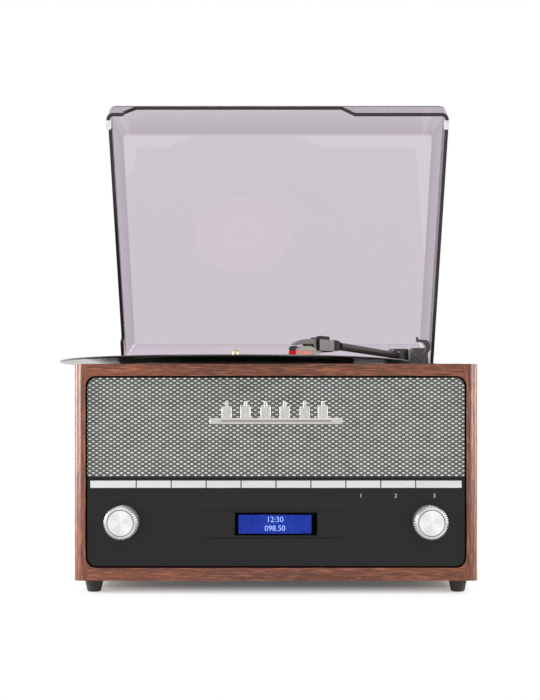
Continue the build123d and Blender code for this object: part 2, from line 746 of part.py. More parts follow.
RECORD_LOW = RECORD_TOP - RECORD_T
GROOVE_DEEP = 0.15         # the played area lies this far below the rim and the label
EDGE_BAND = 3.0
with BuildPart() as record:
    add(
        turned(
            (
                (BORE_R, RECORD_LOW),
                (RECORD_R - 1, RECORD_LOW),
                (RECORD_R, RECORD_LOW + RECORD_T / 2),
                (RECORD_R - 1, RECORD_TOP),
                (RECORD_R - EDGE_BAND + 0.5, RECORD_TOP),
                (RECORD_R - EDGE_BAND, RECORD_TOP - GROOVE_DEEP),
                (LABEL_R + EDGE_BAND, RECORD_TOP - GROOVE_DEEP),
                (LABEL_R + EDGE_BAND - 0.5, RECORD_TOP),
                (BORE_R, RECORD_TOP),
            ),
            SPINDLE_X,
            SPINDLE_Y,
        )
    )
finish(record, "record")

LABEL_T = 0.12
with BuildPart() as record_label:
    with BuildSketch(Plane.XY.offset(RECORD_TOP)):
        with Locations((SPINDLE_X, SPINDLE_Y)):
            Circle(LABEL_R)
            Circle(BORE_R, mode=Mode.SUBTRACT)
    extrude(amount=LABEL_T)
finish(record_label, "record_label")

# ---------------------------------------------------------------- motor, pulley and belt
MOTOR_R = 17.0
MOTOR_H = 24.0
MOTOR_TOP = WELL_LOW - SKIN
STEM_R = 1.0
STEM_LEN = 10.0
with BuildPart() as motor:
    add(
        turned(
            (
                (STEM_R + 0.05, MOTOR_TOP),
                (MOTOR_R - 1, MOTOR_TOP),
                (MOTOR_R, MOTOR_TOP - 1),
                (MOTOR_R, MOTOR_TOP - MOTOR_H),
                (5, MOTOR_TOP - MOTOR_H),
                (5, MOTOR_TOP - MOTOR_H - 2),
                (0, MOTOR_TOP - MOTOR_H - 2),
                (0, MOTOR_TOP - STEM_LEN - 2),
                (STEM_R + 0.05, MOTOR_TOP - STEM_LEN - 2),
            ),
            MOTOR_X,
            MOTOR_Y,
        )
    )
finish(motor, "motor")

BELT_LOW = DRIVE_LOW + 1.5
BELT_HIGH = BELT_LOW + 4.0
FLANGE_R = PULLEY_R + 1.0
PULLEY_LOW = WELL_LOW + 1.2
with BuildPart() as motor_pulley:
    add(
        turned(
            (
                (0, MOTOR_TOP - STEM_LEN),
                (STEM_R, MOTOR_TOP - STEM_LEN),
                (STEM_R, PULLEY_LOW),
                (FLANGE_R, PULLEY_LOW),
                (FLANGE_R, BELT_LOW - 0.4),
                (PULLEY_R, BELT_LOW - 0.2),
                (PULLEY_R, BELT_HIGH + 0.2),
                (FLANGE_R, BELT_HIGH + 0.4),
                (FLANGE_R, BELT_HIGH + 1.2),
                (0, BELT_HIGH + 1.2),
            ),
            MOTOR_X,
            MOTOR_Y,
        )
    )
finish(motor_pulley, "motor_pulley")

# the belt's two straight runs touch both rings at the angle where they are tangent
BELT_CLEAR = 0.08
BELT_SPAN = hypot(MOTOR_X - SPINDLE_X, MOTOR_Y - SPINDLE_Y)


def belt_loop(grow):
    """The outline round the drive ring and the pulley, grown outwards."""
    big = DRIVE_R + BELT_CLEAR + grow
    small = PULLEY_R + BELT_CLEAR + grow
    lean = (big - small) / BELT_SPAN
    rise = (1 - lean**2) ** 0.5
    upper_big = (big * lean, big * rise)
    lower_big = (big * lean, -big * rise)
    upper_small = (BELT_SPAN + small * lean, small * rise)
    lower_small = (BELT_SPAN + small * lean, -small * rise)
    with BuildLine() as loop:
        ThreePointArc(upper_big, (-big, 0), lower_big)
        Line(lower_big, lower_small)
        ThreePointArc(lower_small, (BELT_SPAN + small, 0), upper_small)
        Line(upper_small, upper_big)
    return loop.line


BELT_TURN = degrees(atan2(MOTOR_Y - SPINDLE_Y, MOTOR_X - SPINDLE_X))
belt_plane = Plane(
    origin=(SPINDLE_X, SPINDLE_Y, BELT_LOW),
    x_dir=(cos(radians(BELT_TURN)), sin(radians(BELT_TURN)), 0),
    z_dir=(0, 0, 1),
)
with BuildPart() as drive_belt:
    with BuildSketch(belt_plane):
        with BuildLine():
            add(belt_loop(BELT_T))
        make_face()
        with BuildLine():
            add(belt_loop(0))
        make_face(mode=Mode.SUBTRACT)
    extrude(amount=BELT_HIGH - BELT_LOW)
finish(drive_belt, "drive_belt")

# ---------------------------------------------------------------- tonearm
BASE_TOP = 178.6           # the pedestal that the yoke turns on
BASE_R = 9.6
CUE_Y = 66.0
CUE_Z = 172.3
CUE_PIN_R = 1.5
HOUSING_X = 132.4          # the cueing mechanism's housing beside the pedestal
HOUSING_Y = 79.0
HOUSING_W = 15.2
HOUSING_D = 30.0
HOUSING_TOP = 189.8
HOUSING_SIDE = HOUSING_X + HOUSING_W / 2
with BuildPart() as arm_base:
    add(
        turned(
            (
                (JOURNAL_R, DECK_TOP),
                (BASE_R + 4.4, DECK_TOP),
                (BASE_R + 4.4, DECK_TOP + 1.5),
                (BASE_R, DECK_TOP + 6),
                (BASE_R, BASE_TOP),
                (JOURNAL_R, BASE_TOP),
            ),
            PIVOT_X,
            PIVOT_Y,
        )
    )
    with BuildSketch(Plane.XY.offset(DECK_TOP)):
        with Locations((HOUSING_X, HOUSING_Y)):
            RectangleRounded(HOUSING_W, HOUSING_D, 2)
    extrude(amount=HOUSING_TOP - DECK_TOP)
    chamfer(arm_base.faces().sort_by(Axis.Z)[-1].edges(), 0.8)
    with BuildSketch(Plane(origin=(HOUSING_SIDE, CUE_Y, CUE_Z), x_dir=(0, 1, 0), z_dir=(1, 0, 0))):
        Circle(CUE_PIN_R + 0.05)
    extrude(amount=-6, mode=Mode.SUBTRACT)
finish(arm_base, "arm_base")

TUBE_DIR = Vector(-sin(radians(TUBE_ANGLE)), -cos(radians(TUBE_ANGLE)), 0)
TUBE_SIDE = Vector(cos(radians(TUBE_ANGLE)), -sin(radians(TUBE_ANGLE)), 0)
ARM_RISE = 2.0             # the tube climbs this much from the pivot to the elbow
LIFT_Z = 183.0
YOKE_R = 9.2
YOKE_LOW = BASE_TOP + 0.3
YOKE_TOP = 189.3
SLOT_LOW_Z = 179.5         # the slot that the tube rocks in
SLOT_HIGH_Z = 187.4
TRUNNION_R = 1.0
TRUNNION_LEN = 6.2
tilt_axis = Plane(origin=(PIVOT_X, PIVOT_Y, LIFT_Z), x_dir=TUBE_DIR, z_dir=TUBE_SIDE)

with BuildPart() as arm_yoke:
    with BuildSketch(Plane.XY.offset(YOKE_LOW)):
        with Locations((PIVOT_X, PIVOT_Y)):
            Circle(YOKE_R)
    extrude(amount=YOKE_TOP - YOKE_LOW)
    chamfer(arm_yoke.faces().sort_by(Axis.Z)[-1].edges(), 0.7)
    with BuildSketch(Plane(origin=(PIVOT_X, PIVOT_Y, 0), x_dir=TUBE_SIDE, z_dir=TUBE_DIR)):
        with Locations((0, (SLOT_LOW_Z + SLOT_HIGH_Z) / 2)):
            Rectangle(2 * ARM_R + 1.0, SLOT_HIGH_Z - SLOT_LOW_Z)
    extrude(amount=YOKE_R + 2, both=True, mode=Mode.SUBTRACT)
    with BuildSketch(tilt_axis):
        Circle(TRUNNION_R + 0.05)
    extrude(amount=TRUNNION_LEN + 0.3, both=True, mode=Mode.SUBTRACT)
    # the shaft that turns in the pedestal
    with BuildSketch(Plane.XY.offset(YOKE_LOW)):
        with Locations((PIVOT_X, PIVOT_Y)):
            Circle(JOURNAL_R - 0.05)
    extrude(amount=-20)
finish(arm_yoke, "arm_yoke")

TUBE_SLOPE = Vector(TUBE_DIR.X * ELBOW, TUBE_DIR.Y * ELBOW, ARM_RISE).normalized()
tube_start = Plane(origin=(PIVOT_X, PIVOT_Y, LIFT_Z), x_dir=TUBE_SIDE, z_dir=TUBE_SLOPE)
with BuildPart() as arm_tube:
    for length in (ELBOW, -7):
        with BuildSketch(tube_start):
            Circle(ARM_R)
        extrude(amount=length)
    # trunnions of the lifting hinge
    with BuildSketch(tilt_axis):
        Circle(TRUNNION_R)
    extrude(amount=TRUNNION_LEN, both=True)
finish(arm_tube, "arm_tube")

ELBOW_X = PIVOT_X + TUBE_DIR.X * ELBOW
ELBOW_Y = PIVOT_Y + TUBE_DIR.Y * ELBOW
SHELL_DIR = Vector(STYLUS_X - ELBOW_X, STYLUS_Y - ELBOW_Y, 0).normalized()
SHELL_SIDE = Vector(SHELL_DIR.Y, -SHELL_DIR.X, 0)


def shell_section(along):
    """A plane across the headshell at a distance from the elbow: x across, y up from z = 0."""
    spot = (ELBOW_X + SHELL_DIR.X * along, ELBOW_Y + SHELL_DIR.Y * along, 0)
    return Plane(origin=spot, x_dir=SHELL_SIDE * -1, z_dir=SHELL_DIR)


# side views of the headshell's pieces: x runs from the elbow to the stylus, y is the height
SHELL_LOW = 181.6
SHELL_TOP_EDGE = ((19.5, 190.6), (27, 191.0), (40, 188.9), (58, 185.0))
SHELL_UNDER_EDGE = ((58, 183.8), (48, 185.6), (38, 187.2), (27, 188.2))
CARTRIDGE_SIDE = (
    (26.5, 184.9), (47.0, 184.9), (50.5, 182.6), (50.5, 178.6), (47.5, 176.4), (29.0, 176.4),
    (26.5, 178.4),
)
STYLUS_BODY_SIDE = ((50.5, 181.6), (56.4, 181.2), (57.6, 179.4), (56.6, 176.4), (50.5, 175.8))
NEEDLE_SIDE = ((54.4, 176.6), (55.9, 176.6), (55.5, STYLUS_Z), (55.3, STYLUS_Z))
# blocks of the headshell as (start, height of middle, width, height, rounding, length)
SHELL_BLOCKS = ((3.0, 185.2, 9.2, 9.2, 4.5, 7.0), (8.5, 187.1, 13.0, 13.2, 1.6, 11.5),
                (10.5, 194.4, 7.0, 2.6, 0.8, 7.0))
shell_side = Plane(origin=(ELBOW_X, ELBOW_Y, 0), x_dir=SHELL_DIR, z_dir=SHELL_SIDE)
with BuildPart() as headshell:
    # the collar, the block that the tube enters, and the finger lift's root on top of it
    for start, mid_z, width, height, rounding, length in SHELL_BLOCKS:
        with BuildSketch(shell_section(start)):
            with Locations((0, mid_z)):
                RectangleRounded(width, height, rounding)
        extrude(amount=length)
    with BuildSketch(shell_side):
        with BuildLine():
            top = Spline(*SHELL_TOP_EDGE)
            Line(top @ 1, SHELL_UNDER_EDGE[0])
            under = Spline(*SHELL_UNDER_EDGE)
            Polyline(under @ 1, (25.5, SHELL_LOW), (19.5, SHELL_LOW), top @ 0)
        make_face()
    extrude(amount=5.6, both=True)
finish(headshell, "headshell")

with BuildPart() as cartridge:
    with BuildSketch(shell_side):
        with BuildLine():
            Polyline(*CARTRIDGE_SIDE, close=True)
        make_face()
    extrude(amount=4.8, both=True)
finish(cartridge, "cartridge")

with BuildPart() as stylus:
    for outline, half_width in ((STYLUS_BODY_SIDE, 3.6), (NEEDLE_SIDE, 0.35)):
        with BuildSketch(shell_side):
            with BuildLine():
                Polyline(*outline, close=True)
            make_face()
        extrude(amount=half_width, both=True)
finish(stylus, "stylus")

# front view of the rest: a post that leans out, a shelf for the tube and a hook that closes over it
REST_X = 129.0
REST_POST = ((120.2, 180.8), (119.4, 178.4), (125.8, 172.5), (125.8, 169.4), (131.6, 169.4),
             (130.4, 181.5))
REST_TIP = ((129.4, 192.4), (122.6, 193.0), (122.0, 195.2), (120.6, 195.2), (120.9, 191.0),
            (126.2, 190.8))
with BuildPart() as arm_rest:
    with BuildSketch(Plane.XY.offset(DECK_TOP)):
        with Locations((REST_X, REST_Y)):
            RectangleRounded(13, 11, 2)
    extrude(amount=2)
    with BuildSketch(front_plane(REST_Y)):
        with BuildLine():
            Polyline(*REST_POST)
            ThreePointArc(REST_POST[-1], (133.0, 187.4), REST_TIP[0])
            Polyline(*REST_TIP)
            ThreePointArc(REST_TIP[-1], (128.8, 186.6), (127.0, 181.2))
            Polyline((127.0, 181.2), (126.6, 180.8), REST_POST[0])
        make_face()
    extrude(amount=2.6, both=True)
finish(arm_rest, "arm_rest")

LEVER_LEN = 22.0
LEVER_T = 2.4
LEVER_X = HOUSING_SIDE + 0.4
PAD_LEN = 10.0
PAD_T = 4.2
lever_side = Plane(origin=(LEVER_X, CUE_Y, CUE_Z), x_dir=(0, 1, 0), z_dir=(1, 0, 0))
with BuildPart() as cue_lever:
    with BuildSketch(lever_side):
        Circle(2.2)
        with Locations((-LEVER_LEN / 2, 0)):
            Rectangle(LEVER_LEN, LEVER_T)
    extrude(amount=LEVER_T)
    # finger pad at the end, and the pin that turns in the housing
    with BuildSketch(lever_side.offset(-0.8)):
        with Locations((-LEVER_LEN - 4, 0)):
            RectangleRounded(PAD_LEN, PAD_T, 1)
    extrude(amount=PAD_T)
    with BuildSketch(lever_side):
        Circle(CUE_PIN_R)
    extrude(amount=-5)
finish(cue_lever, "cue_lever")

LIFTER_TOP = 179.4
LIFTER_T = 2.2
BAR_IN = 20.2              # the curved bar under the tube, about the arm's pivot
BAR_OUT = 23.4
BAR_START = 222.0
BAR_SWEEP = 56.0
with BuildPart() as cue_lifter:
    with BuildSketch(Plane.XY.offset(LIFTER_TOP)):
        with BuildLine():
            outer = CenterArc((PIVOT_X, PIVOT_Y), BAR_OUT, BAR_START, BAR_SWEEP)
            inner = CenterArc((PIVOT_X, PIVOT_Y), BAR_IN, BAR_START, BAR_SWEEP)
            Line(outer @ 0, inner @ 0)
            Line(outer @ 1, inner @ 1)
        make_face()
    extrude(amount=-LIFTER_T)
    with BuildSketch(Plane.XY.offset(LIFTER_TOP - 1)):
        with Locations((LIFTER_X, LIFTER_Y)):
            Circle(LIFTER_R)
    extrude(amount=HEIGHT - 8 - LIFTER_TOP)
finish(cue_lifter, "cue_lifter")

CAP_H = 3.2
with BuildPart() as speed_switch:
    with Locations((SWITCH_X, SWITCH_Y, DECK_TOP + GAP + CAP_H / 2)):
        Box(8, 7, CAP_H)
    chamfer(speed_switch.faces().sort_by(Axis.Z)[-1].edges(), 0.6)
    with Locations((SWITCH_X, SWITCH_Y, DECK_TOP - 2.2)):
        Box(5, 3.2, 6)
finish(speed_switch, "speed_switch")


def finish_open(piece, name):
    """Swing a piece of the closed lid up to its open place about the hinge axis, and write it."""
    hinge = Location((0, HINGE_Y, HINGE_Z))
    opened = piece.part.moved(hinge * Location((0, 0, 0), (-LID_OPEN, 0, 0)) * hinge.inverse())
    opened.label = name
    export_step(opened, f"parts/{name}.step")


# ---------------------------------------------------------------- lid
LID_ROUND = 6.5
LID_DEPTH = HINGE_Y - LID_FRONT
WALL_TOP = LID_LOW + LID_WALL
PLATE_TOP = WALL_TOP + LID_RISE
PLATE_W = LID_W - 2 * LID_INSET
PLATE_FRONT = LID_FRONT + LID_SHOULDER
PLATE_BACK = HINGE_Y - 7.0
# openings in three walls that let the record stand out past the lid
CUT_TOP = WALL_TOP - 1.5
FRONT_CUT = (
    (-133.6, LID_LOW), (-133.6, LID_LOW + 5), (-124.0, CUT_TOP), (58.0, CUT_TOP), (69.0, LID_LOW),
)
SIDE_CUT_FRONT = -111.0
SIDE_CUT_BACK = 97.0
SIDE_CUT_H = 11.0
REAR_CUT_LEFT = -114.0
REAR_CUT_RIGHT = 44.0
REAR_CUT_H = 10.0
NOTCH_W = 24.0
NOTCH_H = 9.0
BUMPER_LEN = 8.0
BUMPER_Y = LID_FRONT + 10.6
BUMPER_RISE = 4.0          # how far a bumper stands up into the lid's wall

with BuildPart() as lid:
    for thick, low, mode in ((0, LID_LOW, Mode.ADD), (LID_T, LID_LOW - 1, Mode.SUBTRACT)):
        with BuildSketch(Plane.XY.offset(low)):
            with Locations((LID_X, (LID_FRONT + HINGE_Y) / 2)):
                RectangleRounded(LID_W - 2 * thick, LID_DEPTH - 2 * thick, LID_ROUND - thick)
        extrude(amount=WALL_TOP - thick / 2 - low, mode=mode)
        with BuildSketch(Plane.XY.offset(WALL_TOP - thick / 2)):
            with Locations((LID_X, (LID_FRONT + HINGE_Y) / 2)):
                RectangleRounded(LID_W - 2 * thick, LID_DEPTH - 2 * thick, LID_ROUND - thick)
        with BuildSketch(Plane.XY.offset(PLATE_TOP - thick)):
            with Locations((LID_X, (PLATE_FRONT + PLATE_BACK) / 2)):
                RectangleRounded(
                    PLATE_W - 2 * thick, PLATE_BACK - PLATE_FRONT - 2 * thick, LID_ROUND - thick
                )
        loft(mode=mode)
    with BuildSketch(Plane(origin=(0, LID_FRONT - 1, 0), x_dir=(1, 0, 0), z_dir=(0, -1, 0))):
        with BuildLine():
            Polyline(*FRONT_CUT, close=True)
        make_face()
    extrude(amount=-LID_T - 8, mode=Mode.SUBTRACT)
    with Locations((LID_X - LID_W / 2, (SIDE_CUT_FRONT + SIDE_CUT_BACK) / 2, LID_LOW)):
        Box(3 * LID_T, SIDE_CUT_BACK - SIDE_CUT_FRONT, 2 * SIDE_CUT_H, mode=Mode.SUBTRACT)
    with Locations(((REAR_CUT_LEFT + REAR_CUT_RIGHT) / 2, HINGE_Y, LID_LOW)):
        Box(REAR_CUT_RIGHT - REAR_CUT_LEFT, 3 * LID_T, 2 * REAR_CUT_H, mode=Mode.SUBTRACT)
    # notches for the two hinges and for the two bumpers
    with Locations((-HINGE_X, HINGE_Y, LID_LOW), (HINGE_X, HINGE_Y, LID_LOW)):
        Box(NOTCH_W, 3 * LID_T, 2 * NOTCH_H, mode=Mode.SUBTRACT)
    with Locations((LID_X - LID_W / 2, BUMPER_Y, LID_LOW), (LID_X + LID_W / 2, BUMPER_Y, LID_LOW)):
        Box(3 * LID_T, BUMPER_LEN, 2 * BUMPER_RISE, mode=Mode.SUBTRACT)
finish_open(lid, "lid")

BUMPER_LOW = HEIGHT + 1.2
BUMPER_TOP = LID_LOW + BUMPER_RISE
with BuildPart() as lid_bumpers:
    for side in (-1, 1):
        with Locations((LID_X + side * (LID_W / 2 - 1.6), BUMPER_Y, (BUMPER_LOW + BUMPER_TOP) / 2)):
            Box(4.4, BUMPER_LEN, BUMPER_TOP - BUMPER_LOW)
    chamfer(lid_bumpers.edges().filter_by(Axis.Z), 0.7)
finish_open(lid_bumpers, "lid_bumpers")

BARREL_R = 3.0
BARREL_LEN = 12.0
PIN_R = 1.5
LEAF_T = 2.0
LEAF_LEN = 14.5
hinge_side = Plane(origin=(0, HINGE_Y, HINGE_Z), x_dir=(0, 1, 0), z_dir=(1, 0, 0))
with BuildPart() as lid_hinge_arms:
    for side in (-HINGE_X, HINGE_X):
        barrel = hinge_side.offset(side)
        with BuildSketch(barrel):
            Circle(BARREL_R)
            # the leaf runs up the inner face of the lid's back wall, joined by a short web
            with Locations((-LID_T - LEAF_T / 2, LEAF_LEN / 2 + 1.5)):
                Rectangle(LEAF_T, LEAF_LEN)
            with Locations((-2.6, 2.6)):
                Rectangle(2.4, 3.0)
            Circle(PIN_R + 0.05, mode=Mode.SUBTRACT)
        extrude(amount=BARREL_LEN / 2, both=True)
finish_open(lid_hinge_arms, "lid_hinge_arms")

EAR_GAP = BARREL_LEN / 2 + GAP
EAR_T = 3.0
EAR_LOW = HEIGHT + 1.0
BASE_T = 1.6
with BuildPart() as lid_hinge_bases:
    for side in (-HINGE_X, HINGE_X):
        with Locations((side, HINGE_Y + 0.9, HEIGHT + BASE_T / 2)):
            Box(2 * (EAR_GAP + EAR_T) + 4, 6.2, BASE_T)
        for flank in (-1, 1):
            with BuildSketch(hinge_side.offset(side + flank * (EAR_GAP + EAR_T / 2))):
                Circle(BARREL_R)
                with Locations((0, (EAR_LOW - HINGE_Z) / 2)):
                    Rectangle(2 * BARREL_R, HINGE_Z - EAR_LOW)
            extrude(amount=EAR_T / 2, both=True)
        with BuildSketch(hinge_side.offset(side)):
            Circle(PIN_R)
        extrude(amount=EAR_GAP + EAR_T, both=True)
finish(lid_hinge_bases, "lid_hinge_bases")
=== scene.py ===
# %% [markdown]
# A music centre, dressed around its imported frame. The frame holds the real pieces at their real sizes:
# the wooden cabinet, the radio front, the record deck and the lid. This script gives each piece its
# finish, and models the small forms that the frame leaves out, such as the woven grille.
# Everything is in metres, with the origin at the centre of the cabinet's underside.

# %% Load the frame
import math
import bpy
import bmesh
from mathutils import Matrix, Vector


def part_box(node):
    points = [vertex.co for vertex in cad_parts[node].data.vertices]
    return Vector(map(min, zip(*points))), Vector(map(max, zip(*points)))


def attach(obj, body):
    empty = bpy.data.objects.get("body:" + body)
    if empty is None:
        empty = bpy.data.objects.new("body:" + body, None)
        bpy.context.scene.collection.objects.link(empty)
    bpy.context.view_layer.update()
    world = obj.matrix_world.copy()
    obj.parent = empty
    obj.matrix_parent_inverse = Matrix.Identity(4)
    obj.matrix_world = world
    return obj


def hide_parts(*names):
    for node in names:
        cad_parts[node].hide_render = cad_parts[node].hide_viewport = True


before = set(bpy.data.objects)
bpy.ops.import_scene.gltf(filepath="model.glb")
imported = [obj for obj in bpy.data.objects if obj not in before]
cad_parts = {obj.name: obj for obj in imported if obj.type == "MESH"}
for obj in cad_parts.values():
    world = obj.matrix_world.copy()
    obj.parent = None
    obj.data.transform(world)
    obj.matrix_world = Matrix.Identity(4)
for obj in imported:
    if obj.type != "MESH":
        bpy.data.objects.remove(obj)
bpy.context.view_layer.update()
bpy.ops.object.select_all(action="DESELECT")
scene = bpy.context.scene
scene.view_settings.view_transform = "Standard"
MM = 0.001

# %% [markdown]
# The camera comes first. It stands about a metre in front of the cabinet, level, and a little lower than
# the record, so the record's underside shows at the left. The lens shift frames the object without
# tilting the camera, which would make the upright edges lean.

# %% Camera
PICTURE_W = 540
PICTURE_H = 700
FRONT_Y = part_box("front_frame")[0][1]
CAMERA_AWAY = 1.0394
CAMERA_HIGH = 0.1286
FOCAL_PX = 1345.6
MIDDLE_COLUMN = 276.0
HORIZON_ROW = 414.3
SENSOR = 36.0

camera_data = bpy.data.cameras.new("camera")
camera = bpy.data.objects.new("camera", camera_data)
scene.collection.objects.link(camera)
camera.location = (0.0, FRONT_Y - CAMERA_AWAY, CAMERA_HIGH)
camera.rotation_euler = (math.radians(90), 0, 0)
camera_data.sensor_width = SENSOR
camera_data.lens = SENSOR * FOCAL_PX / PICTURE_H
camera_data.shift_x = -(MIDDLE_COLUMN - PICTURE_W / 2) / PICTURE_H
camera_data.shift_y = (HORIZON_ROW - PICTURE_H / 2) / PICTURE_H
camera_data.clip_start = 0.05
scene.camera = camera
print("lens", round(camera_data.lens, 1), "mm, at", tuple(round(v, 3) for v in camera.location))

# %% [markdown]
# Every finish is a tree of nodes, and so is the light of the studio. A helper adds a node and fills its
# sockets, which is all that building such a tree takes.

# %% Helpers for nodes


def fill(owner, node, inputs):
    """Fill a node's sockets: another node's output is joined, and a plain value is set."""
    for socket, value in inputs.items():
        if isinstance(value, bpy.types.NodeSocket):
            owner.node_tree.links.new(value, node.inputs[socket])
        else:
            node.inputs[socket].default_value = value


def add_node(owner, kind, inputs=None, **settings):
    """A new node in the node tree of a material or world."""
    node = owner.node_tree.nodes.new("ShaderNode" + kind)
    for setting, value in settings.items():
        setattr(node, setting, value)
    fill(owner, node, inputs or {})
    return node


def seen_directly(owner):
    """1 for camera, mirror and see-through rays, and 0 for the rays that light things."""
    path = add_node(owner, "LightPath").outputs
    seen = path["Is Camera Ray"]
    for ray in ("Is Glossy Ray", "Is Transmission Ray"):
        seen = add_node(owner, "Math", {0: seen, 1: path[ray]}, operation="MAXIMUM").outputs[0]
    return seen


print("node helpers ready")

# %% [markdown]
# The object stands in a white studio. The world is white for the camera and in reflections, but it lights
# the object more gently, because a full white world would wash out every shadow.

# %% World
WORLD_LIGHT = 0.55
world = bpy.data.worlds.new("studio")
scene.world = world
world.use_nodes = True
world.node_tree.nodes.clear()
glows = [add_node(world, "Background", {"Color": (1, 1, 1, 1), "Strength": strength}).outputs[0]
         for strength in (WORLD_LIGHT, 1.0)]
world_mix = add_node(world, "MixShader", {0: seen_directly(world), 1: glows[0], 2: glows[1]})
add_node(world, "OutputWorld", {"Surface": world_mix.outputs[0]})
print("world light", WORLD_LIGHT)

# %% [markdown]
# The floor is white as well, but it has to keep the soft shadow under the cabinet. Its material is a plain
# diffuse white near the cabinet, where the shadow falls, and turns to an even glowing white a few
# centimetres away. The distance comes from Object coordinates, so it holds from every side.

# %% Floor
FLOOR_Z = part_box("feet")[0][2]
FLOOR_SIZE = 8.0
FLOOR_WHITE = (0.86, 0.86, 0.86, 1)
SHADE_HALF = (0.137, 0.080, 1.0)      # the shaded patch, as a half width and a half depth
SHADE_STRETCH = (4, 1, 0)             # it ends sooner at the sides than in front
SHADE_EDGE = 0.09
GLOW_LEAST = 0.09                     # the glow that is left in the shaded patch

bpy.ops.mesh.primitive_plane_add(size=FLOOR_SIZE, location=(0, 0, FLOOR_Z))
floor = bpy.context.object
floor.name = "floor"
bpy.ops.object.transform_apply(location=True, rotation=True, scale=True)

floor_white = bpy.data.materials.new("floor_white")
floor_white.use_nodes = True
floor_white.node_tree.nodes.clear()
floor.data.materials.append(floor_white)
vector = add_node(floor_white, "TexCoord").outputs["Object"]
for operation, value in (("ABSOLUTE", (0, 0, 0)), ("SUBTRACT", SHADE_HALF), ("MAXIMUM", (0, 0, 0)),
                         ("MULTIPLY", SHADE_STRETCH)):
    vector = add_node(floor_white, "VectorMath", {0: vector, 1: value}, operation=operation).outputs[0]
away = add_node(floor_white, "VectorMath", {0: vector}, operation="LENGTH").outputs["Value"]
clear = add_node(floor_white, "MapRange", {"Value": away, "From Max": SHADE_EDGE, "To Min": GLOW_LEAST},
                 interpolation_type="SMOOTHSTEP")
visible = add_node(floor_white, "Math", {0: clear.outputs["Result"], 1: seen_directly(floor_white)},
                   operation="MULTIPLY")
matt = add_node(floor_white, "BsdfDiffuse", {"Color": FLOOR_WHITE})
glow = add_node(floor_white, "Emission")
floor_mix = add_node(floor_white, "MixShader",
                     {0: visible.outputs[0], 1: matt.outputs[0], 2: glow.outputs[0]})
add_node(floor_white, "OutputMaterial", {"Surface": floor_mix.outputs[0]})
print("floor at", round(FLOOR_Z, 4))

# %% [markdown]
# Four soft lamps shape the object. Two stand well out to the sides, so that the rounded corners of the
# wooden front catch a bright upright band. One is in front and above, and fills the front. The last hangs
# over the deck and the lid. Area lamps were chosen over points because their shadows have no hard edge.

# %% Lamps


def lamp(name, size, power, place, target):
    """A rectangular area lamp that faces a point."""
    data = bpy.data.lights.new(name, "AREA")
    data.shape = "RECTANGLE"
    data.size, data.size_y = size
    data.energy = power
    item = bpy.data.objects.new(name, data)
    scene.collection.objects.link(item)
    item.location = place
    aim = Vector(target) - Vector(place)
    item.rotation_euler = aim.to_track_quat("-Z", "Y").to_euler()
    return item


lamp("lamp_left", (0.6, 1.1), 33.0, (-1.6, -0.2, 0.5), (0, -0.05, 0.1))
lamp("lamp_right", (0.6, 1.1), 21.0, (1.6, -0.2, 0.5), (0, -0.05, 0.1))
lamp("lamp_front", (1.4, 0.8), 4.8, (0.3, -1.7, 1.5), (0, 0, 0.1))
lamp("lamp_top", (1.2, 1.0), 9.0, (0, 0.1, 1.8), (0, 0, 0.1))

# %% [markdown]
# A finish is built around one Principled shader. These helpers make the material, set the plain values on
# the shader's own sockets, and add the few textures that most finishes share. Patterns read Object
# coordinates, so they stay on the piece at their real scale.

# %% Helpers for materials


def finish_named(name, colour, roughness=0.5, metallic=0.0, **sockets):
    """A new material, with its shader's plain values set."""
    material = bpy.data.materials.new(name)
    material.use_nodes = True
    values = {"Base Color": (*colour, 1.0), "Roughness": roughness, "Metallic": metallic}
    feed(material, {**values, **{socket.replace("_", " "): value for socket, value in sockets.items()}})
    return material


def feed(material, inputs):
    """Fill sockets of the material's shader."""
    fill(material, material.node_tree.nodes["Principled BSDF"], inputs)


def place_scaled(material, scale=(1, 1, 1), place=(0, 0, 0)):
    """Object coordinates, scaled, and moved so that a pattern's centre comes to the given place."""
    coordinates = add_node(material, "TexCoord").outputs["Object"]
    away = [-part for part in place]
    return add_node(material, "Mapping", {"Vector": coordinates, "Scale": scale, "Location": away}).outputs[0]


def noise(material, vector, scale, detail=4.0, rough=0.55, distortion=0.0):
    """A noise texture's factor."""
    return add_node(material, "TexNoise", {"Vector": vector, "Scale": scale, "Detail": detail,
                                           "Roughness": rough, "Distortion": distortion}).outputs["Fac"]


def ramp(material, factor, stops):
    """A colour ramp over (position, colour) stops."""
    node = add_node(material, "ValToRGB", {"Fac": factor})
    elements = node.color_ramp.elements
    while len(elements) < len(stops):
        elements.new(0.5)
    for element, (position, colour) in zip(elements, stops):
        element.position = position
        element.color = (*colour, 1.0)
    return node.outputs["Color"]


def bump(material, height, strength, distance, under=None):
    """Bump from a height, on top of another bump's normal if there is one. Returns its own normal."""
    inputs = {"Height": height, "Strength": strength, "Distance": distance}
    if under is not None:
        inputs["Normal"] = under
    normal = add_node(material, "Bump", inputs).outputs["Normal"]
    feed(material, {"Normal": normal})
    return normal


def spread(material, factor, low, high):
    """Map a 0 to 1 factor to a range, for a roughness that varies."""
    return add_node(material, "MapRange", {"Value": factor, "To Min": low, "To Max": high}).outputs["Result"]


def srgb(red, green, blue):
    """A colour given as 0 to 255 display values, as the linear values that Blender takes."""
    out = []
    for value in (red, green, blue):
        part = value / 255
        out.append(part / 12.92 if part <= 0.04045 else ((part + 0.055) / 1.055) ** 2.4)
    return tuple(out)


def mixed(material, factor, first, second):
    """Mix two colours. Each input may be a plain value or another node's output."""
    colours = [(*value, 1.0) if isinstance(value, tuple) else value for value in (first, second)]
    node = add_node(material, "Mix", {"Factor": factor, 6: colours[0], 7: colours[1]}, data_type="RGBA")
    return node.outputs[2]


